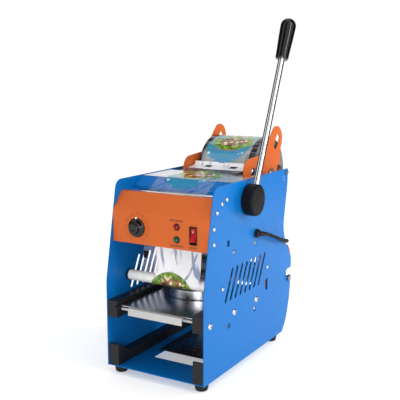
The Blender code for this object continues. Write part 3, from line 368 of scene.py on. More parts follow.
def roll_end(name, y, z):
    """The edges of the layers, seen from the end of the roll."""
    shader = Shader(name, (0.12, 0.12, 0.13), 0.4)
    _, deep, high = shader.parts(shader.place())
    radius = shader.length(deep - at(0, y, 0).y, high - z)
    rings = shader.noise(1.0, shader.flat(X=radius * 900), 3)
    rim = shader.mix(shader.remap(rings, 0.35, 0.65), (0.06, 0.062, 0.07), (0.22, 0.225, 0.24))
    shader.set("Base Color", rim)
    shader.rough(200, 0.3, 0.5)
    return shader.bump(rings, 0.2, 0.0004).material


BLUE = powder_coat("blue_powder_coat", (0.001, 0.122, 0.395))
ORANGE = powder_coat("orange_powder_coat", (0.48, 0.1, 0.02))
BLACK = plastic("black_plastic", (0.01, 0.01, 0.012), 0.4, 1500, 0.25)
CHARCOAL = plastic("charcoal_plastic", (0.01, 0.01, 0.011), 0.45, 900, 0.15)
HUB = plastic("hub_plastic", (0.005, 0.005, 0.007), 0.5, 500, 0.1)
GRIP = Shader("grip_plastic", (0.003, 0.003, 0.004), 0.1, Specular_IOR_Level=0.45)
GRIP = GRIP.mottle(40, 0.1).rough(60, 0.06, 0.1).material
RUBBER = rubber("black_rubber", (0.01, 0.01, 0.011))
MAT = Shader("mat_rubber", (0.008, 0.008, 0.009), 0.3, Specular_IOR_Level=0.5)
MAT = MAT.mottle(60, 0.1).rough(200, 0.26, 0.36).material
CORD_RUBBER = rubber("cord_sheath", (0.005, 0.005, 0.006))
WHITE = powder_coat("white_enamel", (0.42, 0.42, 0.41), 0.3)
IVORY = plastic("ivory_plastic", (0.8, 0.79, 0.75), 0.38)
CHROME = metal("chrome", (0.8, 0.8, 0.82), 0.02, 0.06, (6, 6, 2), 0.0)
STEEL = metal("machined_steel", (0.26, 0.26, 0.28), 0.2, 0.36, (30, 30, 6), 0.08)
ZINC = metal("zinc_plated_steel", (0.62, 0.63, 0.65), 0.18, 0.34, (12, 12, 12), 0.08)
MIRROR = metal("polished_stainless", (0.48, 0.48, 0.52), 0.17, 0.26, (3, 60, 3), 0.02)
DECK = metal("brushed_stainless", (0.68, 0.68, 0.72), 0.16, 0.3, (60, 3, 3), 0.06)
ALUMINIUM = metal("turned_aluminium", (0.7, 0.71, 0.73), 0.24, 0.36, (4, 4, 260), 0.1, 14)
CAST = metal("machined_aluminium", (0.66, 0.67, 0.69), 0.28, 0.42, (20, 20, 60), 0.1)
BRASS = metal("brass", (0.72, 0.5, 0.2), 0.22, 0.36, (40, 8, 8), 0.08)
SEAL = plastic("silicone", (0.68, 0.67, 0.63), 0.45)
BOARD = plastic("mica_board", (0.62, 0.57, 0.45), 0.7, 500)
CARD = plastic("card", (0.46, 0.33, 0.2), 0.8, 700)
RED = Shader("red_lens", (0.2, 0.001, 0.003), 0.08, Specular_IOR_Level=0.35).mottle(120, 0.2).material
GREEN = Shader("green_lens", (0.002, 0.075, 0.05), 0.08, Specular_IOR_Level=0.35).mottle(120, 0.2).material
RED_BUTTON = Shader("red_button", (0.36, 0.001, 0.004), 0.12, Specular_IOR_Level=0.3)
RED_BUTTON = RED_BUTTON.mottle(60, 0.1).rough(200, 0.16, 0.28).material
INK = plastic("print_ink", (0.07, 0.016, 0.01), 0.55)
MARK_WHITE = plastic("mark_white", (0.78, 0.78, 0.76), 0.5)


# ---- meshes


def new_object(name, data):
    obj = bpy.data.objects.new(name, data)
    bpy.context.scene.collection.objects.link(obj)
    return obj


def smooth_but_sharp(mesh):
    mesh.shade_smooth()
    mesh.set_sharp_from_angle(angle=radians(32))


def piece(name, mesh, material, body, replaces=(), smooth=True):
    obj = new_object(name, mesh)
    obj.data.materials.clear()
    obj.data.materials.append(material)
    if smooth:
        smooth_but_sharp(mesh)
    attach(obj, body)
    if replaces:
        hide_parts(*replaces)
    return obj


def mesh_from(work, turn_out=False):
    if turn_out:
        bmesh.ops.recalc_face_normals(work, faces=work.faces)
    mesh = bpy.data.meshes.new("mesh")
    work.to_mesh(mesh)
    work.free()
    return mesh


def add_turned(work, profile, matrix, segments=64):
    """Adds the profile of (radius, height), top to bottom on its outer side, turned about the matrix's Z."""
    rings = []
    for radius, height in profile:
        if radius < 1e-7:
            rings.append([work.verts.new(matrix @ Vector((0, 0, height)))])
            continue
        turn = 2 * pi / segments
        ring = [(radius * cos(i * turn), radius * sin(i * turn), height) for i in range(segments)]
        rings.append([work.verts.new(matrix @ Vector(point)) for point in ring])
    for upper, lower in zip(rings, rings[1:]):
        for i in range(segments):
            j = (i + 1) % segments
            if len(upper) == 1 and len(lower) == 1:
                break
            if len(upper) == 1:
                work.faces.new((upper[0], lower[i], lower[j]))
            elif len(lower) == 1:
                work.faces.new((upper[i], lower[0], upper[j]))
            else:
                work.faces.new((upper[i], lower[i], lower[j], upper[j]))
    return rings


def turned(profile, matrix, segments=64, closed=False):
    work = bmesh.new()
    rings = add_turned(work, profile + ([profile[0]] if closed else []), matrix, segments)
    if closed:
        bmesh.ops.remove_doubles(work, verts=rings[0] + rings[-1], dist=1e-7)
    return mesh_from(work)


def join_rings(work, rings):
    for ring, after in zip(rings, rings[1:]):
        for i in range(len(ring)):
            j = (i + 1) % len(ring)
            work.faces.new((ring[i], ring[j], after[j], after[i]))


def eased_corner(before, here, after, radius, most, shares):
    """Points that round off one corner, no further than the given part of either side."""
    a, b, c = Vector(before), Vector(here), Vector(after)
    reach = min(radius, (a - b).length * most, (c - b).length * most)
    start, end = b + (a - b).normalized() * reach, b + (c - b).normalized() * reach
    return [start * (1 - t) ** 2 + b * 2 * t * (1 - t) + end * t ** 2 for t in shares]


def softened(profile, radius=0.0005):
    """The profile with its corners rounded off."""
    result = [profile[0]]
    for corner in zip(profile, profile[1:], profile[2:]):
        result += map(tuple, eased_corner(*corner, radius, 0.45, (0, 1 / 3, 2 / 3, 1)))
    return result + [profile[-1]]


def both_ways(half):
    """The profile and its mirror image."""
    return half + [(radius, -x) for radius, x in reversed(half)]


def add_box(work, low, high, bevel=0.0, segments=2, matrix=UNTURNED):
    low, high = Vector(low), Vector(high)
    scale = Matrix.Diagonal((*(high - low), 1))
    made = bmesh.ops.create_cube(work, size=1, matrix=matrix @ Matrix.Translation((low + high) / 2) @ scale)
    if bevel:
        edges = list({edge for vert in made["verts"] for edge in vert.link_edges})
        bmesh.ops.bevel(work, geom=edges, offset=bevel, segments=segments, profile=0.5, affect="EDGES",
            clamp_overlap=True)


def boxes(places, bevel=0.0003, segments=2, matrix=UNTURNED):
    work = bmesh.new()
    for low, high in places:
        add_box(work, low, high, bevel, segments, matrix)
    return mesh_from(work)


def along_x(x, y, z):
    """A frame whose Z points along +X."""
    return Matrix.Translation(at(x, y, z)) @ Matrix.Rotation(pi / 2, 4, "Y")


def along_front(x, y, z):
    """A frame whose Z points out of the front."""
    return Matrix.Translation(at(x, y, z)) @ Matrix.Rotation(pi / 2, 4, "X")


def add_bevel(obj, width, segments, angle):
    bevel = obj.modifiers.new("edges", "BEVEL")
    bevel.width, bevel.segments = width, segments
    bevel.limit_method, bevel.angle_limit = "ANGLE", radians(angle)


def finished(node, material, width=0.0004, angle=50):
    """The CAD solid again with its sharp edges broken, as on a real pressing or moulding."""
    work = bmesh.new()
    work.from_mesh(frame["nodes"][node].data)
    bmesh.ops.remove_doubles(work, verts=work.verts, dist=2e-6)
    obj = piece(f"{node}_finished", mesh_from(work), material, body_of(node), [node])
    if width:
        add_bevel(obj, width, 2, angle)
        normals = obj.modifiers.new("normals", "WEIGHTED_NORMAL")
        normals.weight = 100
        normals.keep_sharp = True
    return obj


def body_of(node):
    for body, members in frame["record"]["behaviour"]["bodies"].items():
        if node in members:
            return body


# ---- camera, light and floor


def camera():
    data = bpy.data.cameras.new("camera")
    data.lens, data.sensor_width = 66.93, 36
    data.clip_end = 50
    obj = new_object("camera", data)
    obj.location = at(0.68622, -1.01787, 0.53667)
    obj.rotation_euler = (radians(90 - 9.805), 0, radians(30.254))
    bpy.context.scene.camera = obj


def area_light(name, place, aim, size, power):
    data = bpy.data.lights.new(name, "AREA")
    data.shape = "RECTANGLE"
    data.size, data.size_y = size
    data.energy = power
    obj = new_object(name, data)
    obj.location = place
    obj.rotation_euler = (Vector(aim) - Vector(place)).to_track_quat("-Z", "Y").to_euler()
    return obj


def dark_card(bearing, width):
    """A tall black card out of shot, there to be reflected in the chrome."""
    away = Vector((cos(bearing), sin(bearing), 0))
    side = Vector((-away.y, away.x, 0))
    work = bmesh.new()
    corners = [away * 1.7 + side * a * width / 2 + Vector((0, 0, z)) for a,
        z in ((-1, 0.05), (1, 0.05), (1, 4.0), (-1, 4.0))]
    work.faces.new([work.verts.new(corner) for corner in corners])
    card = new_object("dark_card", mesh_from(work))
    shader = Shader("dark_card", (0.02, 0.02, 0.02), 0.9, Specular_IOR_Level=0.1)
    shader.mottle(3, 0.1)
    card.data.materials.append(shader.material)
    card.visible_camera = card.visible_diffuse = card.visible_shadow = card.visible_transmission = False


def studio():
    bpy.context.scene.view_settings.view_transform = "Standard"
    world = bpy.data.worlds.new("studio")
    world.use_nodes = True
    world.node_tree.nodes["Background"].inputs["Color"].default_value = (1, 1, 1, 1)
    world.node_tree.nodes["Background"].inputs["Strength"].default_value = 1.0
    bpy.context.scene.world = world
    area_light("key", (1.34, 1.46, 0.56), at(0.12, 0.1, 0.35), (0.14, 0.14), 23).visible_glossy = False
    area_light("strip", (1.65, -0.3, 1.2), (0, 0, 0.4), (0.12, 1.8), 10)
    area_light("front_fill", (1.05, -1.95, 0.45), (0, 0, 0.2), (0.6, 0.6), 17)
    for offset, width in ((-38, 1.3), (102, 1.2), (142, 1.3), (-112, 1.3), (-150, 1.2)):
        dark_card(radians(-59.7 + offset), width)

    work = bmesh.new()
    bmesh.ops.create_grid(work, x_segments=2, y_segments=2, size=60)
    shader = Shader("studio_floor", (0.7, 0.7, 0.7), 0.9, Specular_IOR_Level=0.0,
        Emission_Color=(1, 1, 1, 1), Emission_Strength=0.35)
    shader.mottle(2, 0.004)
    floor = new_object("floor", mesh_from(work))
    floor.data.materials.append(shader.material)


# ---- power cord


def catmull_rom(points, per_span):
    points = [Vector(point) for point in points]
    ends = [points[0] * 2 - points[1], *points, points[-1] * 2 - points[-2]]
    result = []
    for a, b, c, d in zip(ends, ends[1:], ends[2:], ends[3:]):
        for k in range(per_span):
            t = k / per_span
            square, cube = 2 * a - 5 * b + 4 * c - d, 3 * b - a - 3 * c + d
            result.append(0.5 * (2 * b + (c - a) * t + square * t * t + cube * t ** 3))
    return result + [points[-1]]


def eased(value, start, end):
    t = min(1.0, max(0.0, (value - start) / (end - start)))
    return t * t * (3 - 2 * t)


def coil_points():
    """Four turns, clockwise from the front: round the outside, inside, inside above it, and outside again."""
    centre = Vector((COIL_X, COIL_Y, 0))
    start = 0.04615
    low, high = 0.0037, 0.0104
    points = []
    for i in range(1, 4 * 18 + 5):
        angle = 20.0 * i
        radius = start + (COIL_OUTER - start) * eased(angle, 0, 75)
        radius += (COIL_INNER - COIL_OUTER) * (eased(angle, 345, 400) - eased(angle, 1070, 1125))
        height = low + (high - low) * eased(angle, 705, 760)
        turn = radians(angle)
        points.append(centre + Vector((-radius * sin(turn), -radius * cos(turn), height)))
    points.append(centre + Vector((-COIL_OUTER, 0.007, 0.0108)))
    points.append(centre + Vector((-COIL_OUTER, 0.016, 0.0112)))
    points.append(centre + Vector((-COIL_OUTER, 0.0247, 0.0113)))
    return points


def power_cord():
    visible = catmull_rom(CORD_ROUTE, 2)[:-1]
    points = [at(*point) for point in visible + coil_points()]
    curve = bpy.data.curves.new("mains_cord", "CURVE")
    curve.dimensions = "3D"
    curve.bevel_depth = CORD_R
    curve.bevel_resolution = 5
    curve.resolution_u = 4
    curve.use_fill_caps = True
    spline = curve.splines.new("BEZIER")
    spline.bezier_points.add(len(points) - 1)
    for knot, point in zip(spline.bezier_points, points):
        knot.co = point
        knot.handle_left_type = knot.handle_right_type = "AUTO"
    curve.materials.append(CORD_RUBBER)
    cord = new_object("mains_cord", curve)
    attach(cord, "frame")
    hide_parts("power_cord", "cord_coil")

    plug = mains_plug()
    tie = coil_tie()
    gland()


def coil_tie():
    """A soft strap round the coil's turns."""
    work = bmesh.new()
    centre = at(COIL_X, COIL_Y, 0.00705) + Vector(((COIL_INNER + COIL_OUTER) / 2, 0, 0))
    rings = []
    for grow, y in ((0.0, -0.005), (0.0, 0.005), (0.0003, 0.0052), (0.0004, 0.0046), (0.0004, -0.0046),
            (0.0003, -0.0052)):
        ring = []
        for a, b, first in ((1, 1, 0), (-1, 1, 90), (-1, -1, 180), (1, -1, 270)):
            for k in range(7):
                turn = radians(first + 15 * k)
                x = a * 0.0034 + (0.0033 + grow) * cos(turn)
                z = b * 0.0033 + (0.0033 + grow) * sin(turn)
                ring.append(work.verts.new(centre + Vector((x, y, z))))
        rings.append(ring)
    join_rings(work, rings + rings[:1])
    return piece("coil_tie", mesh_from(work, True), CHARCOAL, "frame")


def mains_plug():
    """A moulded plug with a ribbed sleeve, finger grooves and two flat blades."""
    work = bmesh.new()
    x, y, z = COIL_X - COIL_OUTER, COIL_Y + 0.025, 0.0113
    sections = []
    for k in range(9):
        radius = 0.0044 if k % 2 else 0.0052
        sections.append((0.0012 * k, radius, radius, 1.0))
    sections += [(0.0115, 0.0055, 0.0055, 1.0), (0.015, 0.0085, 0.0075, 0.7), (0.019, 0.01, 0.0085, 0.45)]
    for k in range(5):
        sections.append((0.0205 + 0.0022 * k, 0.0096 if k % 2 else 0.0103, 0.0088, 0.4))
    sections += [(0.033, 0.0108, 0.0098, 0.35), (0.0355, 0.0108, 0.0098, 0.35), (0.0363, 0.01, 0.009, 0.35)]
    rings = []
    count = 32
    for depth, wide, tall, power in sections:
        ring = []
        for i in range(count):
            turn = 2 * pi * i / count
            c, s = cos(turn), sin(turn)
            ring.append(work.verts.new(at(x, y, z) + Vector((
                wide * copysign(abs(c) ** power, c), depth, tall * copysign(abs(s) ** power, s),
            ))))
        rings.append(ring)
    join_rings(work, rings)
    work.faces.new(rings[0])
    work.faces.new(rings[-1][::-1])
    plug = piece("mains_plug", mesh_from(work, True), CHARCOAL, "frame", ["plug"])
    places = [(at(x + side * 0.0062 - 0.0008, y + 0.0358, z - 0.0031),
        at(x + side * 0.0062 + 0.0008, y + 0.054, z + 0.0031))
              for side in (-1, 1)]
    blades = piece("plug_blades", boxes(places, 0.0004), BRASS, "frame")
    blades.parent = plug
    return plug


def gland():
    """The cable gland: a hexagonal nut and a ribbed, tapering sleeve bent the way the cord goes."""
    work = bmesh.new()
    nut = along_x(0, GLAND_Y, GLAND_Z)
    add_turned(work, softened([(0, 0.1035), (0.0083, 0.1035), (0.0083, 0.1003), (0.0058, 0.1003),
        (0.0058, 0.096), (0, 0.096)]), nut, 48)
    add_turned(work, softened([(0, 0.1078), (0.0062, 0.1078), (0.008, 0.1066), (0.008, 0.1035),
        (0, 0.1035)], 0.0006), nut, 6)
    route = catmull_rom([
        (0.106, 0.192, 0.243), (0.1078, 0.1923, 0.243), (0.1107, 0.1942, 0.2427), (0.1124, 0.1977, 0.242),
        (0.1129, 0.2022, 0.241), (0.113, 0.207, 0.2398), (0.113, 0.2117, 0.23864),
    ], 8)
    rings, count = [], 24
    for i, here in enumerate(route):
        ahead = route[min(i + 1, len(route) - 1)] - route[max(i - 1, 0)]
        side = ahead.cross(Vector((0, 0, 1))).normalized()
        above = side.cross(ahead).normalized()
        share = i / (len(route) - 1)
        radius = 0.0051 + (0.0038 - 0.0051) * share - (0.0004 if i % 4 >= 2 else 0.0)
        rings.append([work.verts.new(at(*here) + (side * cos(a) + above * sin(a)) * radius)
                      for a in (2 * pi * k / count for k in range(count))])
    join_rings(work, rings)
    work.faces.new(rings[0][::-1])
    work.faces.new(rings[-1])
    piece("ribbed_gland", mesh_from(work, True), BLACK, "frame", ["cable_gland"])


# ---- frame and tray


def sheet_metal():
    sides = ("left", "right")
    for material, width, nodes in (
        (BLUE, 0.0003, ("left_side_plate", "right_side_plate", "base_plate", "slope_plate", "roll_cradle")),
        (ORANGE, 0.0004, ("control_box", "roll_bracket_left", "roll_bracket_right", "rear_cover")),
        (BLACK, 0.0005, [f"base_rail_{side}" for side in sides]),
        (BLACK, 0.0003, [f"tray_rail_{side}" for side in sides]),
        (DECK, 0.0004, ["deck_plate"]),
        (MIRROR, 0.0003, ["tray_plate"]),
        (WHITE, 0.0005, ["tray_handle"]),
    ):
        for node in nodes:
            finished(node, material, width)


def mat():
    low, high = [Vector(corner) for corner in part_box("cup_rest_mat")]
    work = bmesh.new()
    add_box(work, low, (high.x, high.y, high.z - 0.001), 0.0006)
    across, deep = 7, 9
    for i in range(across):
        for j in range(deep):
            x = low.x + 0.009 + (high.x - low.x - 0.018) * (i + (0.5 if j % 2 else 0.0)) / (across - 0.5)
            y = low.y + 0.008 + (high.y - low.y - 0.016) * j / (deep - 1)
            place = Matrix.Translation((x, y, high.z - 0.0011)) @ Matrix.Diagonal((0.004, 0.0026, 0.0011, 1))
            bmesh.ops.create_uvsphere(work, u_segments=16, v_segments=8, radius=1, matrix=place)
    piece("bumped_mat", mesh_from(work), MAT, "frame", ["cup_rest_mat"])


def feet():
    for side, x in (("left", -0.084), ("right", 0.084)):
        for end, y in (("front", 0.02), ("rear", 0.298)):
            profile = softened([
                (0, 0.014), (0.013, 0.014), (0.0125, 0.01), (0.0108, 0.0012), (0.0098, 0.0), (0.0045, 0.0),
                (0.0045, 0.004), (0, 0.004),
            ], 0.0008)
            mesh = turned(profile, Matrix.Translation(at(x, y, 0)), 40)
            piece(f"rubber_foot_{end}_{side}", mesh, RUBBER, "frame", [f"foot_{end}_{side}"])


def rail_caps():
    """Moulded collars round the rails' front ends, open where the tray's edges slide through."""
    outside, inside = INNER - GROWN, INNER - RAIL_WIDTH - GROWN
    low, high = RAIL_LOW - GROWN, RAIL_HIGH + GROWN
    section = [
        (outside, low), (outside, high), (inside, high), (inside, GROOVE_HIGH + GROWN),
        (GROOVE_X + GROWN, GROOVE_HIGH + GROWN),
        (GROOVE_X + GROWN, GROOVE_LOW - GROWN), (inside, GROOVE_LOW - GROWN), (inside, low),
    ]
    for side, name in ((-1, "left"), (1, "right")):
        work = bmesh.new()
        face = work.faces.new([work.verts.new(at(side * x, 0.0002, z)) for x, z in section])
        extruded = bmesh.ops.extrude_face_region(work, geom=[face])["geom"]
        bmesh.ops.translate(work, vec=(0, 0.0038, 0), verts=[item for item in extruded if isinstance(item,
            bmesh.types.BMVert)])
        bmesh.ops.recalc_face_normals(work, faces=work.faces)
        bmesh.ops.bevel(work, geom=list(work.edges), offset=0.0003, segments=2, affect="EDGES", profile=0.5)
        piece(f"rail_cap_{name}", mesh_from(work), CHARCOAL, "frame")


def cup_ring():
    axis = Matrix.Translation(at(0, RING_Y, 0))
    profile = softened([
        (RING_R - 0.0015, RING_TOP), (RING_R, RING_TOP - 0.0015), (RING_R, RING_LOW + 0.0008),
        (RING_R - 0.0008, RING_LOW),
        (RING_BORE_R, RING_LOW), (RING_BORE_R, RING_TOP - 0.002), (RING_BORE_R + 0.004, RING_TOP - 0.002),
        (RING_BORE_R + 0.004, RING_TOP),
    ], 0.0005)
    piece("polished_ring", turned(profile, axis, 128, True), ALUMINIUM, "tray", ["cup_ring"])
    outward = Matrix.Rotation(radians(-78.7), 3, "Z") @ Vector((1, 0, 0))
    centre = at(0, RING_Y, RING_LOW + 0.005)
    facing = outward.to_track_quat("Z", "Y").to_matrix().to_4x4()
    screw = turned(softened([(0, 0.0004), (0.0008, 0.0004), (0.0011, 0.001), (0.0024, 0.001),
        (0.0024, -0.003), (0, -0.003)], 0.0002),
                   Matrix.Translation(centre + outward * (RING_R - 0.0008)) @ facing, 24)
    piece("ring_set_screw", screw, HUB, "tray")
    seal = softened([
        (RING_BORE_R + 0.0037, RING_TOP + 0.002), (RING_BORE_R + 0.0037, RING_TOP - 0.0017),
        (RING_BORE_R + 0.0003, RING_TOP - 0.0017), (RING_BORE_R + 0.0003, RING_TOP + 0.002),
    ], 0.0009)
    piece("rim_seal", turned(seal, axis, 96, True), SEAL, "tray", ["cup_ring_seal"])


# ---- lever and head


def lever():
    axis = along_x(0, SHAFT_Y, SHAFT_Z)
    hub = softened([
        (0, HUB_X1), (HUB_R - 0.003, HUB_X1), (HUB_R - 0.0009, HUB_X1 - 0.0009), (HUB_R, HUB_X1 - 0.003),
        (HUB_R, HUB_X0 + 0.001),
        (HUB_R - 0.001, HUB_X0), (0.0083, HUB_X0), (0.0083, 0.118), (0, 0.118),
    ], 0.0008)
    piece("hub_moulding", turned(hub, axis, 96), HUB, "lever", ["lever_hub"])
    lean = Matrix.Translation(at(LEVER_X, SHAFT_Y, SHAFT_Z)) @ Matrix.Rotation(-LEVER_LEAN, 4, "X")
    straight = [(LEVER_R, 0.3435 - 0.0001 * step) for step in (0, 2, 20, *range(200, 3200, 200), 3174, 3192,
        3194)]
    rod = [(0, 0.3447), (LEVER_R - 0.0004, 0.3447), (LEVER_R, 0.344), *straight, (LEVER_R - 0.0004, 0.0236),
        (0, 0.0236)]
    piece("polished_rod", turned(rod, lean, 64), CHROME, "lever", ["lever_rod"])
    swell = GRIP_END - GRIP_R
    dome = [(GRIP_R * sin(radians(d)), swell + GRIP_R * cos(radians(d))) for d in range(0, 91, 6)]
    grip = [
        *dome, (0.0143, 0.33), (0.0139, 0.318), (0.0133, 0.305), (0.0127, 0.293), (0.0123, 0.283),
        (0.0122, GRIP_START + 0.005),
        (0.0122, GRIP_START + 0.0018), (0.0116, GRIP_START + 0.0004), (0.0108, GRIP_START),
        (0.0063, GRIP_START), (0.0063, 0.345), (0, 0.345),
    ]
    piece("grip_moulding", turned(grip, lean, 72), GRIP, "lever", ["lever_grip"])


def smooth_rods():
    """Turned rods and rollers with round sections."""
    places = [
        ("front_film_rod", FRONT_ROD_R, FRONT_ROD_Y, FRONT_ROD_Z, CHROME, "chrome"),
        ("rear_film_rod", REAR_ROD_R, REAR_ROD_Y, REAR_ROD_Z, CHROME, "chrome"),
        ("front_roller_shaft", 0.0035, ROLLER_Y, ROLLER_Z, STEEL, "steel"),
    ]
    for node, radius, y, z, material, slot in places:
        profile = softened(both_ways([(0, INNER), (radius, INNER)]), 0.0004)
        piece(f"{node}_turned", turned(profile, along_x(0, y, z), 48), material, "frame", [node])
    roller = softened([
        (ROLLER_R - 0.0004, 0.0945), (ROLLER_R, 0.094), (ROLLER_R, -0.094), (ROLLER_R - 0.0004, -0.0945),
        (0.0039, -0.0945), (0.0039, 0.0945),
    ], 0.0004)
    piece("roller_sleeve", turned(roller, along_x(0, ROLLER_Y, ROLLER_Z), 64, True), IVORY, "front_roller",
        ["front_roller"])
    for side in (-1, 1):
        cap = softened([(ROLLER_R + 0.0006, 0.0967), (ROLLER_R + 0.0006, 0.0925),
            (ROLLER_R + 0.0001, 0.0925), (ROLLER_R + 0.0001, 0.095),
                        (0.0039, 0.095), (0.0039, 0.0967)], 0.0003)
        matrix = along_x(0, ROLLER_Y, ROLLER_Z) @ (UNTURNED if side > 0 else Matrix.Rotation(pi, 4, "X"))
        piece(f"roller_cap_{'right' if side > 0 else 'left'}", turned(cap, matrix, 48, True), BLACK,
            "front_roller")
    guide = softened([
        *both_ways([(0, 0.0685), (0.0068, 0.0685), (0.0072, 0.068), (GUIDE_R, 0.0675)]),
    ], 0.0003)
    piece("guide_sleeve", turned(guide, along_x(0, GUIDE_Y, GUIDE_Z), 56), CHROME, "guide_roller",
        ["guide_roller"])
    half = [(0, 0.1045), (0.0057, 0.1045), (0.0063, 0.104), (0.0064, 0.1035), (0.0064, 0.1003),
        (0.005, 0.1003), (0.005, FILM_HALF + 0.0002)]
    piece("waste_spindle", turned(both_ways(half), along_x(0, WASTE_Y, WASTE_Z), 40), STEEL, "waste_roll")


def internals():
    for node, material, width, angle in (
        ("heater_block", CAST, 0.0004, 50), ("insulator_disc", BOARD, 0.0003, 50),
        ("cutter_ring", STEEL, 0.0002, 50), ("head_plate", STEEL, 0.0004, 50),
        ("head_bridge", STEEL, 0.0003, 60), ("head_rack", STEEL, 0.0002, 50), ("pinion_shaft", STEEL, 0.0, 60),
        ("guide_post_left", CHROME, 0.0, 60), ("shaft_bearing_left", BRASS, 0.0003, 60),
        ("return_spring_left", STEEL, 0.0, 60), ("guide_post_right", CHROME, 0.0, 60),
        ("shaft_bearing_right", BRASS, 0.0003, 60), ("return_spring_right", STEEL, 0.0, 60),
        ("thermostat_body", BLACK, 0.0006, 50), ("roll_axle", ZINC, 0.0002, 60),
    ):
        finished(node, material, width, angle)


# ---- panel


def knob():
    facing = along_front(KNOB_X, PANEL_Y, KNOB_Z)
    profile = softened([
        (0, 0.0124), (0.003, 0.0124), (0.0036, 0.0132), (0.0082, 0.0135), (0.0094, 0.0125),
        (0.0099, 0.0085), (0.0112, 0.0066),
        (0.015, 0.005), (KNOB_R - 0.0003, 0.0032), (KNOB_R, 0.0024), (KNOB_R, 0.0007), (0.003, 0.0007),
        (0.003, -0.004), (0, -0.004),
    ], 0.0009)
    work = bmesh.new()
    add_turned(work, profile, facing, 72)
    for i in range(30):
        turn = facing @ Matrix.Rotation(2 * pi * i / 30, 4, "Z")
        add_box(work, (0.0092, -0.0003, 0.0085), (0.0101, 0.0003, 0.0118), 0.0002, 1, turn)
    piece("knob_moulding", mesh_from(work), GRIP, "knob", ["thermostat_knob"])
    pointer = boxes([((-0.0013, KNOB_R - 0.003, 0.0009), (0.0013, 0.0187, 0.004))], 0.0004, 2, facing)
    piece("knob_pointer", pointer, MARK_WHITE, "knob")

    work = bmesh.new()
    plane = along_front(KNOB_X, PANEL_Y, KNOB_Z)
    for i in range(11):
        turn = plane @ Matrix.Rotation(radians(150 - 30 * i), 4, "Z")
        long_tick = 0.0275 if i % 5 == 0 else 0.0262
        add_box(work, (-0.00035, 0.0235, 0.00002), (0.00035, long_tick, 0.00012), 0, 1, turn)
    steps = 60
    for i in range(steps):
        turn = plane @ Matrix.Rotation(radians(150 - 300 * (i + 0.5) / steps), 4, "Z")
        add_box(work, (-0.0007, 0.0236, 0.00002), (0.0007, 0.02395, 0.00012), 0, 1, turn)
    piece("dial_print", mesh_from(work), INK, "frame")


def lamps():
    for node, z, lens in (("heat_light", HEAT_Z, RED), ("temp_light", TEMP_Z, GREEN)):
        facing = along_front(LIGHT_X, PANEL_Y, z)
        dome = [(0.0046 * sin(radians(a)), 0.0022 + 0.003 * cos(radians(a))) for a in range(0, 91, 9)]
        profile = dome + [(0.0046, 0.001), (0.0044, 0.001), (0.0044, -0.016), (0, -0.016)]
        slot = "red_plastic" if node == "heat_light" else "green_plastic"
        piece(f"{node}_lens", turned(profile, facing, 48), lens, "frame", [node])
        bezel = softened([(0.0061, 0.001), (0.0062, 0.0003), (0.0047, 0.0003), (0.0047, 0.0022),
            (0.0053, 0.0022)], 0.0002)
        piece(f"{node}_bezel", turned(bezel, facing, 48, True), BLACK, "frame")


def rocker():
    facing = along_front(ROCKER_X, PANEL_Y, ROCKER_Z)
    work = bmesh.new()
    wide, tall = 0.0072, 0.01565
    for low, high in (
        ((-wide, -tall), (-0.0053, tall)), ((0.0053, -tall), (wide, tall)),
        ((-wide, 0.0143), (wide, tall)), ((-wide, -tall), (wide, -0.0143)),
    ):
        add_box(work, (*low, 0.0003), (*high, 0.0021), 0.0005, 3, facing)
    add_box(work, (-0.0059, -0.0146, -0.0225), (0.0059, 0.0146, -0.0122), 0.0005, 2, facing)
    for side in (-1, 1):
        low, high = sorted((side * 0.0059, side * 0.0053))
        add_box(work, (low, -0.0146, -0.0125), (high, 0.0146, 0.001), 0.0, 1, facing)
        low, high = sorted((side * 0.0146, side * 0.0143))
        add_box(work, (-0.0059, low, -0.0125), (0.0059, high, 0.001), 0.0, 1, facing)
    piece("rocker_bezel", mesh_from(work), BLACK, "frame", ["rocker_housing"])

    outline = []
    for i in range(11):
        t = i / 10
        z = 0.0118 - 0.0236 * t
        outline.append((-0.0062 - 0.0018 * (abs(2 * t - 1) ** 1.6), z))
    outline += [(-0.002, -0.0122), (0.004, -0.005), (0.004, 0.005), (-0.002, 0.0122)]
    work = bmesh.new()
    c, s = cos(ROCKER_TILT), sin(ROCKER_TILT)
    sides = []
    for x in (-0.0048, 0.0048):
        sides.append([work.verts.new(at(ROCKER_X + x, ROCKER_PIVOT_Y + y * c - z * s,
            ROCKER_Z + y * s + z * c)) for y, z in outline])
    work.faces.new(sides[0])
    work.faces.new(sides[1][::-1])
    join_rings(work, sides)
    button = piece("rocker_moulding", mesh_from(work, True), RED_BUTTON, "rocker", ["rocker_button"])
    add_bevel(button, 0.0006, 3, 40)
    tilt = Matrix.Translation(at(ROCKER_X, ROCKER_PIVOT_Y, ROCKER_Z)) @ Matrix.Rotation(ROCKER_TILT, 4, "X")
    lean = tilt @ Matrix.Translation((0, -0.0072, 0.0062)) @ Matrix.Rotation(radians(-11), 4, "X")
    mark = boxes([((-0.0004, -0.0002, -0.0022), (0.0004, 0.0001, 0.0022))], 0.0, 1, lean)
    piece("rocker_mark", mark, MARK_WHITE, "rocker")


def panel_marks():
    """Plain bars where a panel has its captions."""
    work = bmesh.new()
    plane = along_front(0, PANEL_Y, 0)
    for x, z, count in ((LIGHT_X, HEAT_Z + 0.0108, 9), (LIGHT_X, TEMP_Z - 0.0108, 9),
            (ROCKER_X, ROCKER_Z - 0.0208, 5)):
        for i in range(count):
            left = x + (i - count / 2) * 0.003
            add_box(work, (left, z - 0.0018, 0.00002), (left + 0.0015, z + 0.0018, 0.0001), 0, 1, plane)
    piece("panel_marks", mesh_from(work), INK, "frame")


# ---- fasteners


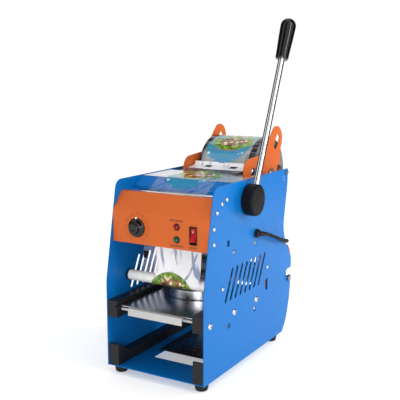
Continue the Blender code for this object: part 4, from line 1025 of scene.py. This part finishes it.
def cut(mesh, tools):
    obj = new_object("cut", mesh)
    made = [obj]
    for tool in tools:
        cutter = new_object("cutter", tool)
        made.append(cutter)
        boolean = obj.modifiers.new("cut", "BOOLEAN")
        boolean.operation, boolean.object, boolean.solver = "DIFFERENCE", cutter, "EXACT"
    result = bpy.data.meshes.new_from_object(obj.evaluated_get(bpy.context.evaluated_depsgraph_get()))
    for item in made:
        bpy.data.objects.remove(item)
    result.materials.clear()
    smooth_but_sharp(result)
    return result


def dome_screw():
    """An M6 button head with a hexagon socket, its seat at Z = 0."""
    arc = [(0.006 * sin(radians(a)), 0.0033 * cos(radians(a))) for a in range(0, 84, 6)]
    head = turned(arc + [(0.006, 0.0001), (0.0057, 0.0), (0, 0.0)], UNTURNED, 40)
    socket = turned([(0, 0.006), (0.0023, 0.006), (0.0023, 0.0012), (0, 0.0012)], UNTURNED, 6)
    return cut(head, [socket])


def pan_screw():
    """An M4 pan head with a cross recess, its seat at Z = 0."""
    head = turned(softened([(0, 0.0024), (0.0026, 0.0022), (0.0039, 0.0009), (0.0039, 0.0), (0, 0.0)],
        0.0006), UNTURNED, 36)
    slots = [boxes([((-x, -y, 0.001), (x, y, 0.004))], 0.0) for x,
        y in ((0.0022, 0.00045), (0.00045, 0.0022))]
    return cut(head, slots)


def hex_bolt():
    """A bolt's hexagon head on its washer, its seat at Z = 0."""
    work = bmesh.new()
    add_turned(work, softened([(0, 0.0014), (0.0085, 0.0014), (0.0085, 0.0), (0, 0.0)], 0.0003), UNTURNED, 48)
    add_turned(work, softened([(0, 0.0056), (0.0046, 0.0056), (0.0058, 0.0048), (0.0058, 0.0014),
        (0, 0.0014)], 0.0004), UNTURNED, 6)
    return mesh_from(work)


def fasten(name, mesh, places, x, material, spin=0.0):
    """Puts the fastener on both outer faces at X = ±x, each one its own object."""
    for i, (y, z) in enumerate(places):
        for side, suffix in ((1, "right"), (-1, "left")):
            turn = Matrix.Rotation(side * pi / 2, 4, "Y")
            matrix = Matrix.Translation(at(side * x, y, z)) @ turn @ Matrix.Rotation(spin + 0.7 * i, 4, "Z")
            copy = mesh.copy()
            copy.transform(matrix)
            piece(f"{name}_{i + 1}_{suffix}", copy, material, "frame", smooth=False)


def fasteners():
    fasten("dome_screw", dome_screw(), M6_PLACES, HALF_WIDTH, ZINC)
    fasten("pan_screw", pan_screw(), M4_PLACES, HALF_WIDTH, ZINC)
    fasten("bracket_bolt", hex_bolt(), BRACKET_BOLTS, BRACKET_OUT, STEEL)
    stud = turned(softened([(0, 0.005), (0.0038, 0.005), (0.0044, 0.0042), (0.0044, 0.0), (0, 0.0)],
        0.0006), UNTURNED, 32)
    fasten("corner_stud", stud, [(STUD_Y, STUD_Z)], HALF_WIDTH - 0.0018, STEEL)


# ---- film


def film_path():
    """Corners (y, z) of the film's middle line, from the supply roll to the waste roll."""
    clear = 0.0006
    stops = [
        (ROLL_Y, ROLL_Z, ROLL_R + clear, 1),
        *((y, z, 0, 1) for y, z in FILM_BULGE),
        (0.15, DECK_TOP + clear, 0, 1), (0.1125, DECK_TOP + clear, 0, 1),
        (FRONT_ROD_Y, FRONT_ROD_Z, FRONT_ROD_R + clear, 1),
        (ROLLER_Y, ROLLER_Z, ROLLER_R + clear, 1),
        (WASTE_Y, WASTE_Z, WASTE_R + clear, -1),
    ]
    headings = []
    for (y0, z0, r0, s0), (y1, z1, r1, s1) in zip(stops, stops[1:]):
        distance = hypot(y1 - y0, z1 - z0)
        headings.append(atan2(z1 - z0, y1 - y0) - asin((s1 * r1 - s0 * r0) / distance))
    corners = []
    for i, (y, z, radius, side) in enumerate(stops):
        arrive, leave = headings[max(i - 1, 0)], headings[min(i, len(headings) - 1)]
        turn = (leave - arrive + pi) % (2 * pi) - pi
        count = max(1, ceil(abs(turn) / radians(9))) if radius else 0
        for k in range(count + 1):
            heading = arrive + (turn * k / count if count else turn / 2)
            corners.append((y + side * radius * sin(heading), z - side * radius * cos(heading)))
            if abs(turn) < 1e-9:
                break
    return corners


def rounded_path(corners):
    """The path with its corners eased and its long runs divided."""
    eased_path = [Vector(corners[0])]
    for corner in zip(corners, corners[1:], corners[2:]):
        eased_path += eased_corner(*corner, 0.006, 0.48, (0.0, 0.33, 0.67, 1.0))
    eased_path.append(Vector(corners[-1]))
    fine = [eased_path[0]]
    for a, b in zip(eased_path, eased_path[1:]):
        length = (b - a).length
        if length < 1e-5:
            continue
        count = max(1, ceil(length / 0.004))
        fine += [a.lerp(b, k / count) for k in range(1, count + 1)]
    return fine


def film():
    path = rounded_path(film_path())
    lengths = [0.0]
    for a, b in zip(path, path[1:]):
        lengths.append(lengths[-1] + (b - a).length)
    across = 24
    work = bmesh.new()
    layer = work.loops.layers.uv.new("UVMap")
    rows, places = [], {}
    for i, (point, s) in enumerate(zip(path, lengths)):
        before, after = path[max(i - 1, 0)], path[min(i + 1, len(path) - 1)]
        along = (after - before).normalized()
        normal = Vector((along.y, -along.x))
        loose = ruffle_amount(point)
        row = []
        for k in range(across + 1):
            x = -FILM_HALF + 2 * FILM_HALF * k / across
            wave = noise.noise(Vector((x * 30, s * 14, 0.3))) * 0.6 + noise.noise(Vector((x * 70, s * 30,
                4.3))) * 0.25
            place = point + normal * (wave * loose)
            vert = work.verts.new(at(x, place.x, place.y))
            places[vert] = (x, printed_at(s))
            row.append(vert)
        rows.append(row)
    for row, after in zip(rows, rows[1:]):
        for k in range(across):
            face = work.faces.new((row[k], after[k], after[k + 1], row[k + 1]))
            for loop in face.loops:
                loop[layer].uv = places[loop.vert]
    web = piece("printed_film", mesh_from(work), loose_film(), "frame", ["film_web"], smooth=False)
    web.data.shade_smooth()


def ruffle_amount(point):
    """How far the film may stand off its line: most in its free vertical run, none on the rollers."""
    y, z = point
    if 0.178 < z < 0.312 and y < 0.09:
        return 0.0011 * sin(pi * (z - 0.178) / 0.134)
    return 0.0


def printed_at(s):
    for (s0, p0), (s1, p1) in zip(PRINT_PLACES, PRINT_PLACES[1:]):
        if s <= s1:
            break
    return p0 + (p1 - p0) * (s - s0) / (s1 - s0)


def rolls():
    """The supply roll and the used film, wound, with their turns showing at the ends."""
    for name, node, body, radius, core, y, z in (
        ("wound_film", "film_roll", "supply_roll", ROLL_R, CORE_R + 0.0003, ROLL_Y, ROLL_Z),
        ("wound_waste", "waste_roll", "waste_roll", WASTE_R, 0.0053, WASTE_Y, WASTE_Z),
    ):
        segments, layers = 144, 26
        work = bmesh.new()
        layer = work.loops.layers.uv.new("UVMap")
        profile = []
        for k in range(layers + 1):
            share = k / layers
            step = 0.00035 if k % 2 else 0.0
            profile.append((core + (radius - core) * share, FILM_HALF - step))
        profile += [(radius, FILM_HALF - 0.0002), (radius, 0.03), (radius, 0.0), (radius, -0.03),
            (radius, 0.0002 - FILM_HALF)]
        profile += [(r, -x) for r, x in reversed(profile[:layers + 1])]
        matrix = along_x(0, y, z)
        add_turned(work, profile, matrix, segments)
        bmesh.ops.recalc_face_normals(work, faces=work.faces)
        for face in work.faces:
            middle = face.calc_center_median() - at(0, y, z)
            centre = atan2(middle.z, middle.y)
            for loop in face.loops:
                local = loop.vert.co - at(0, y, z)
                turn = atan2(local.z, local.y)
                if abs(turn - centre) > pi:
                    turn += copysign(2 * pi, centre - turn)
                loop[layer].uv = (local.x, (turn + pi) * radius)
        obj = piece(name, mesh_from(work), wound_film(name), body, [node], smooth=False)
        obj.data.materials.append(roll_end(f"{name}_end", y, z))
        for polygon in obj.data.polygons:
            polygon.material_index = 1 if abs(polygon.normal.x) > 0.5 else 0
        smooth_but_sharp(obj.data)
    core_tube = softened([(CORE_R, 0.0603), (CORE_R, -0.0603), (CORE_R - 0.0005, -0.0603),
        (CORE_R - 0.0005, 0.0603)], 0.0001)
    piece("card_core", turned(core_tube, along_x(0, ROLL_Y, ROLL_Z), 64, True), CARD, "supply_roll")
    for side in ("left", "right"):
        finished(f"roll_chuck_{side}", BLACK, 0.0004)


# ---- building


camera()
studio()
power_cord()
sheet_metal()
mat()
feet()
rail_caps()
cup_ring()
lever()
smooth_rods()
internals()
knob()
lamps()
rocker()
panel_marks()
fasteners()
film()
rolls()
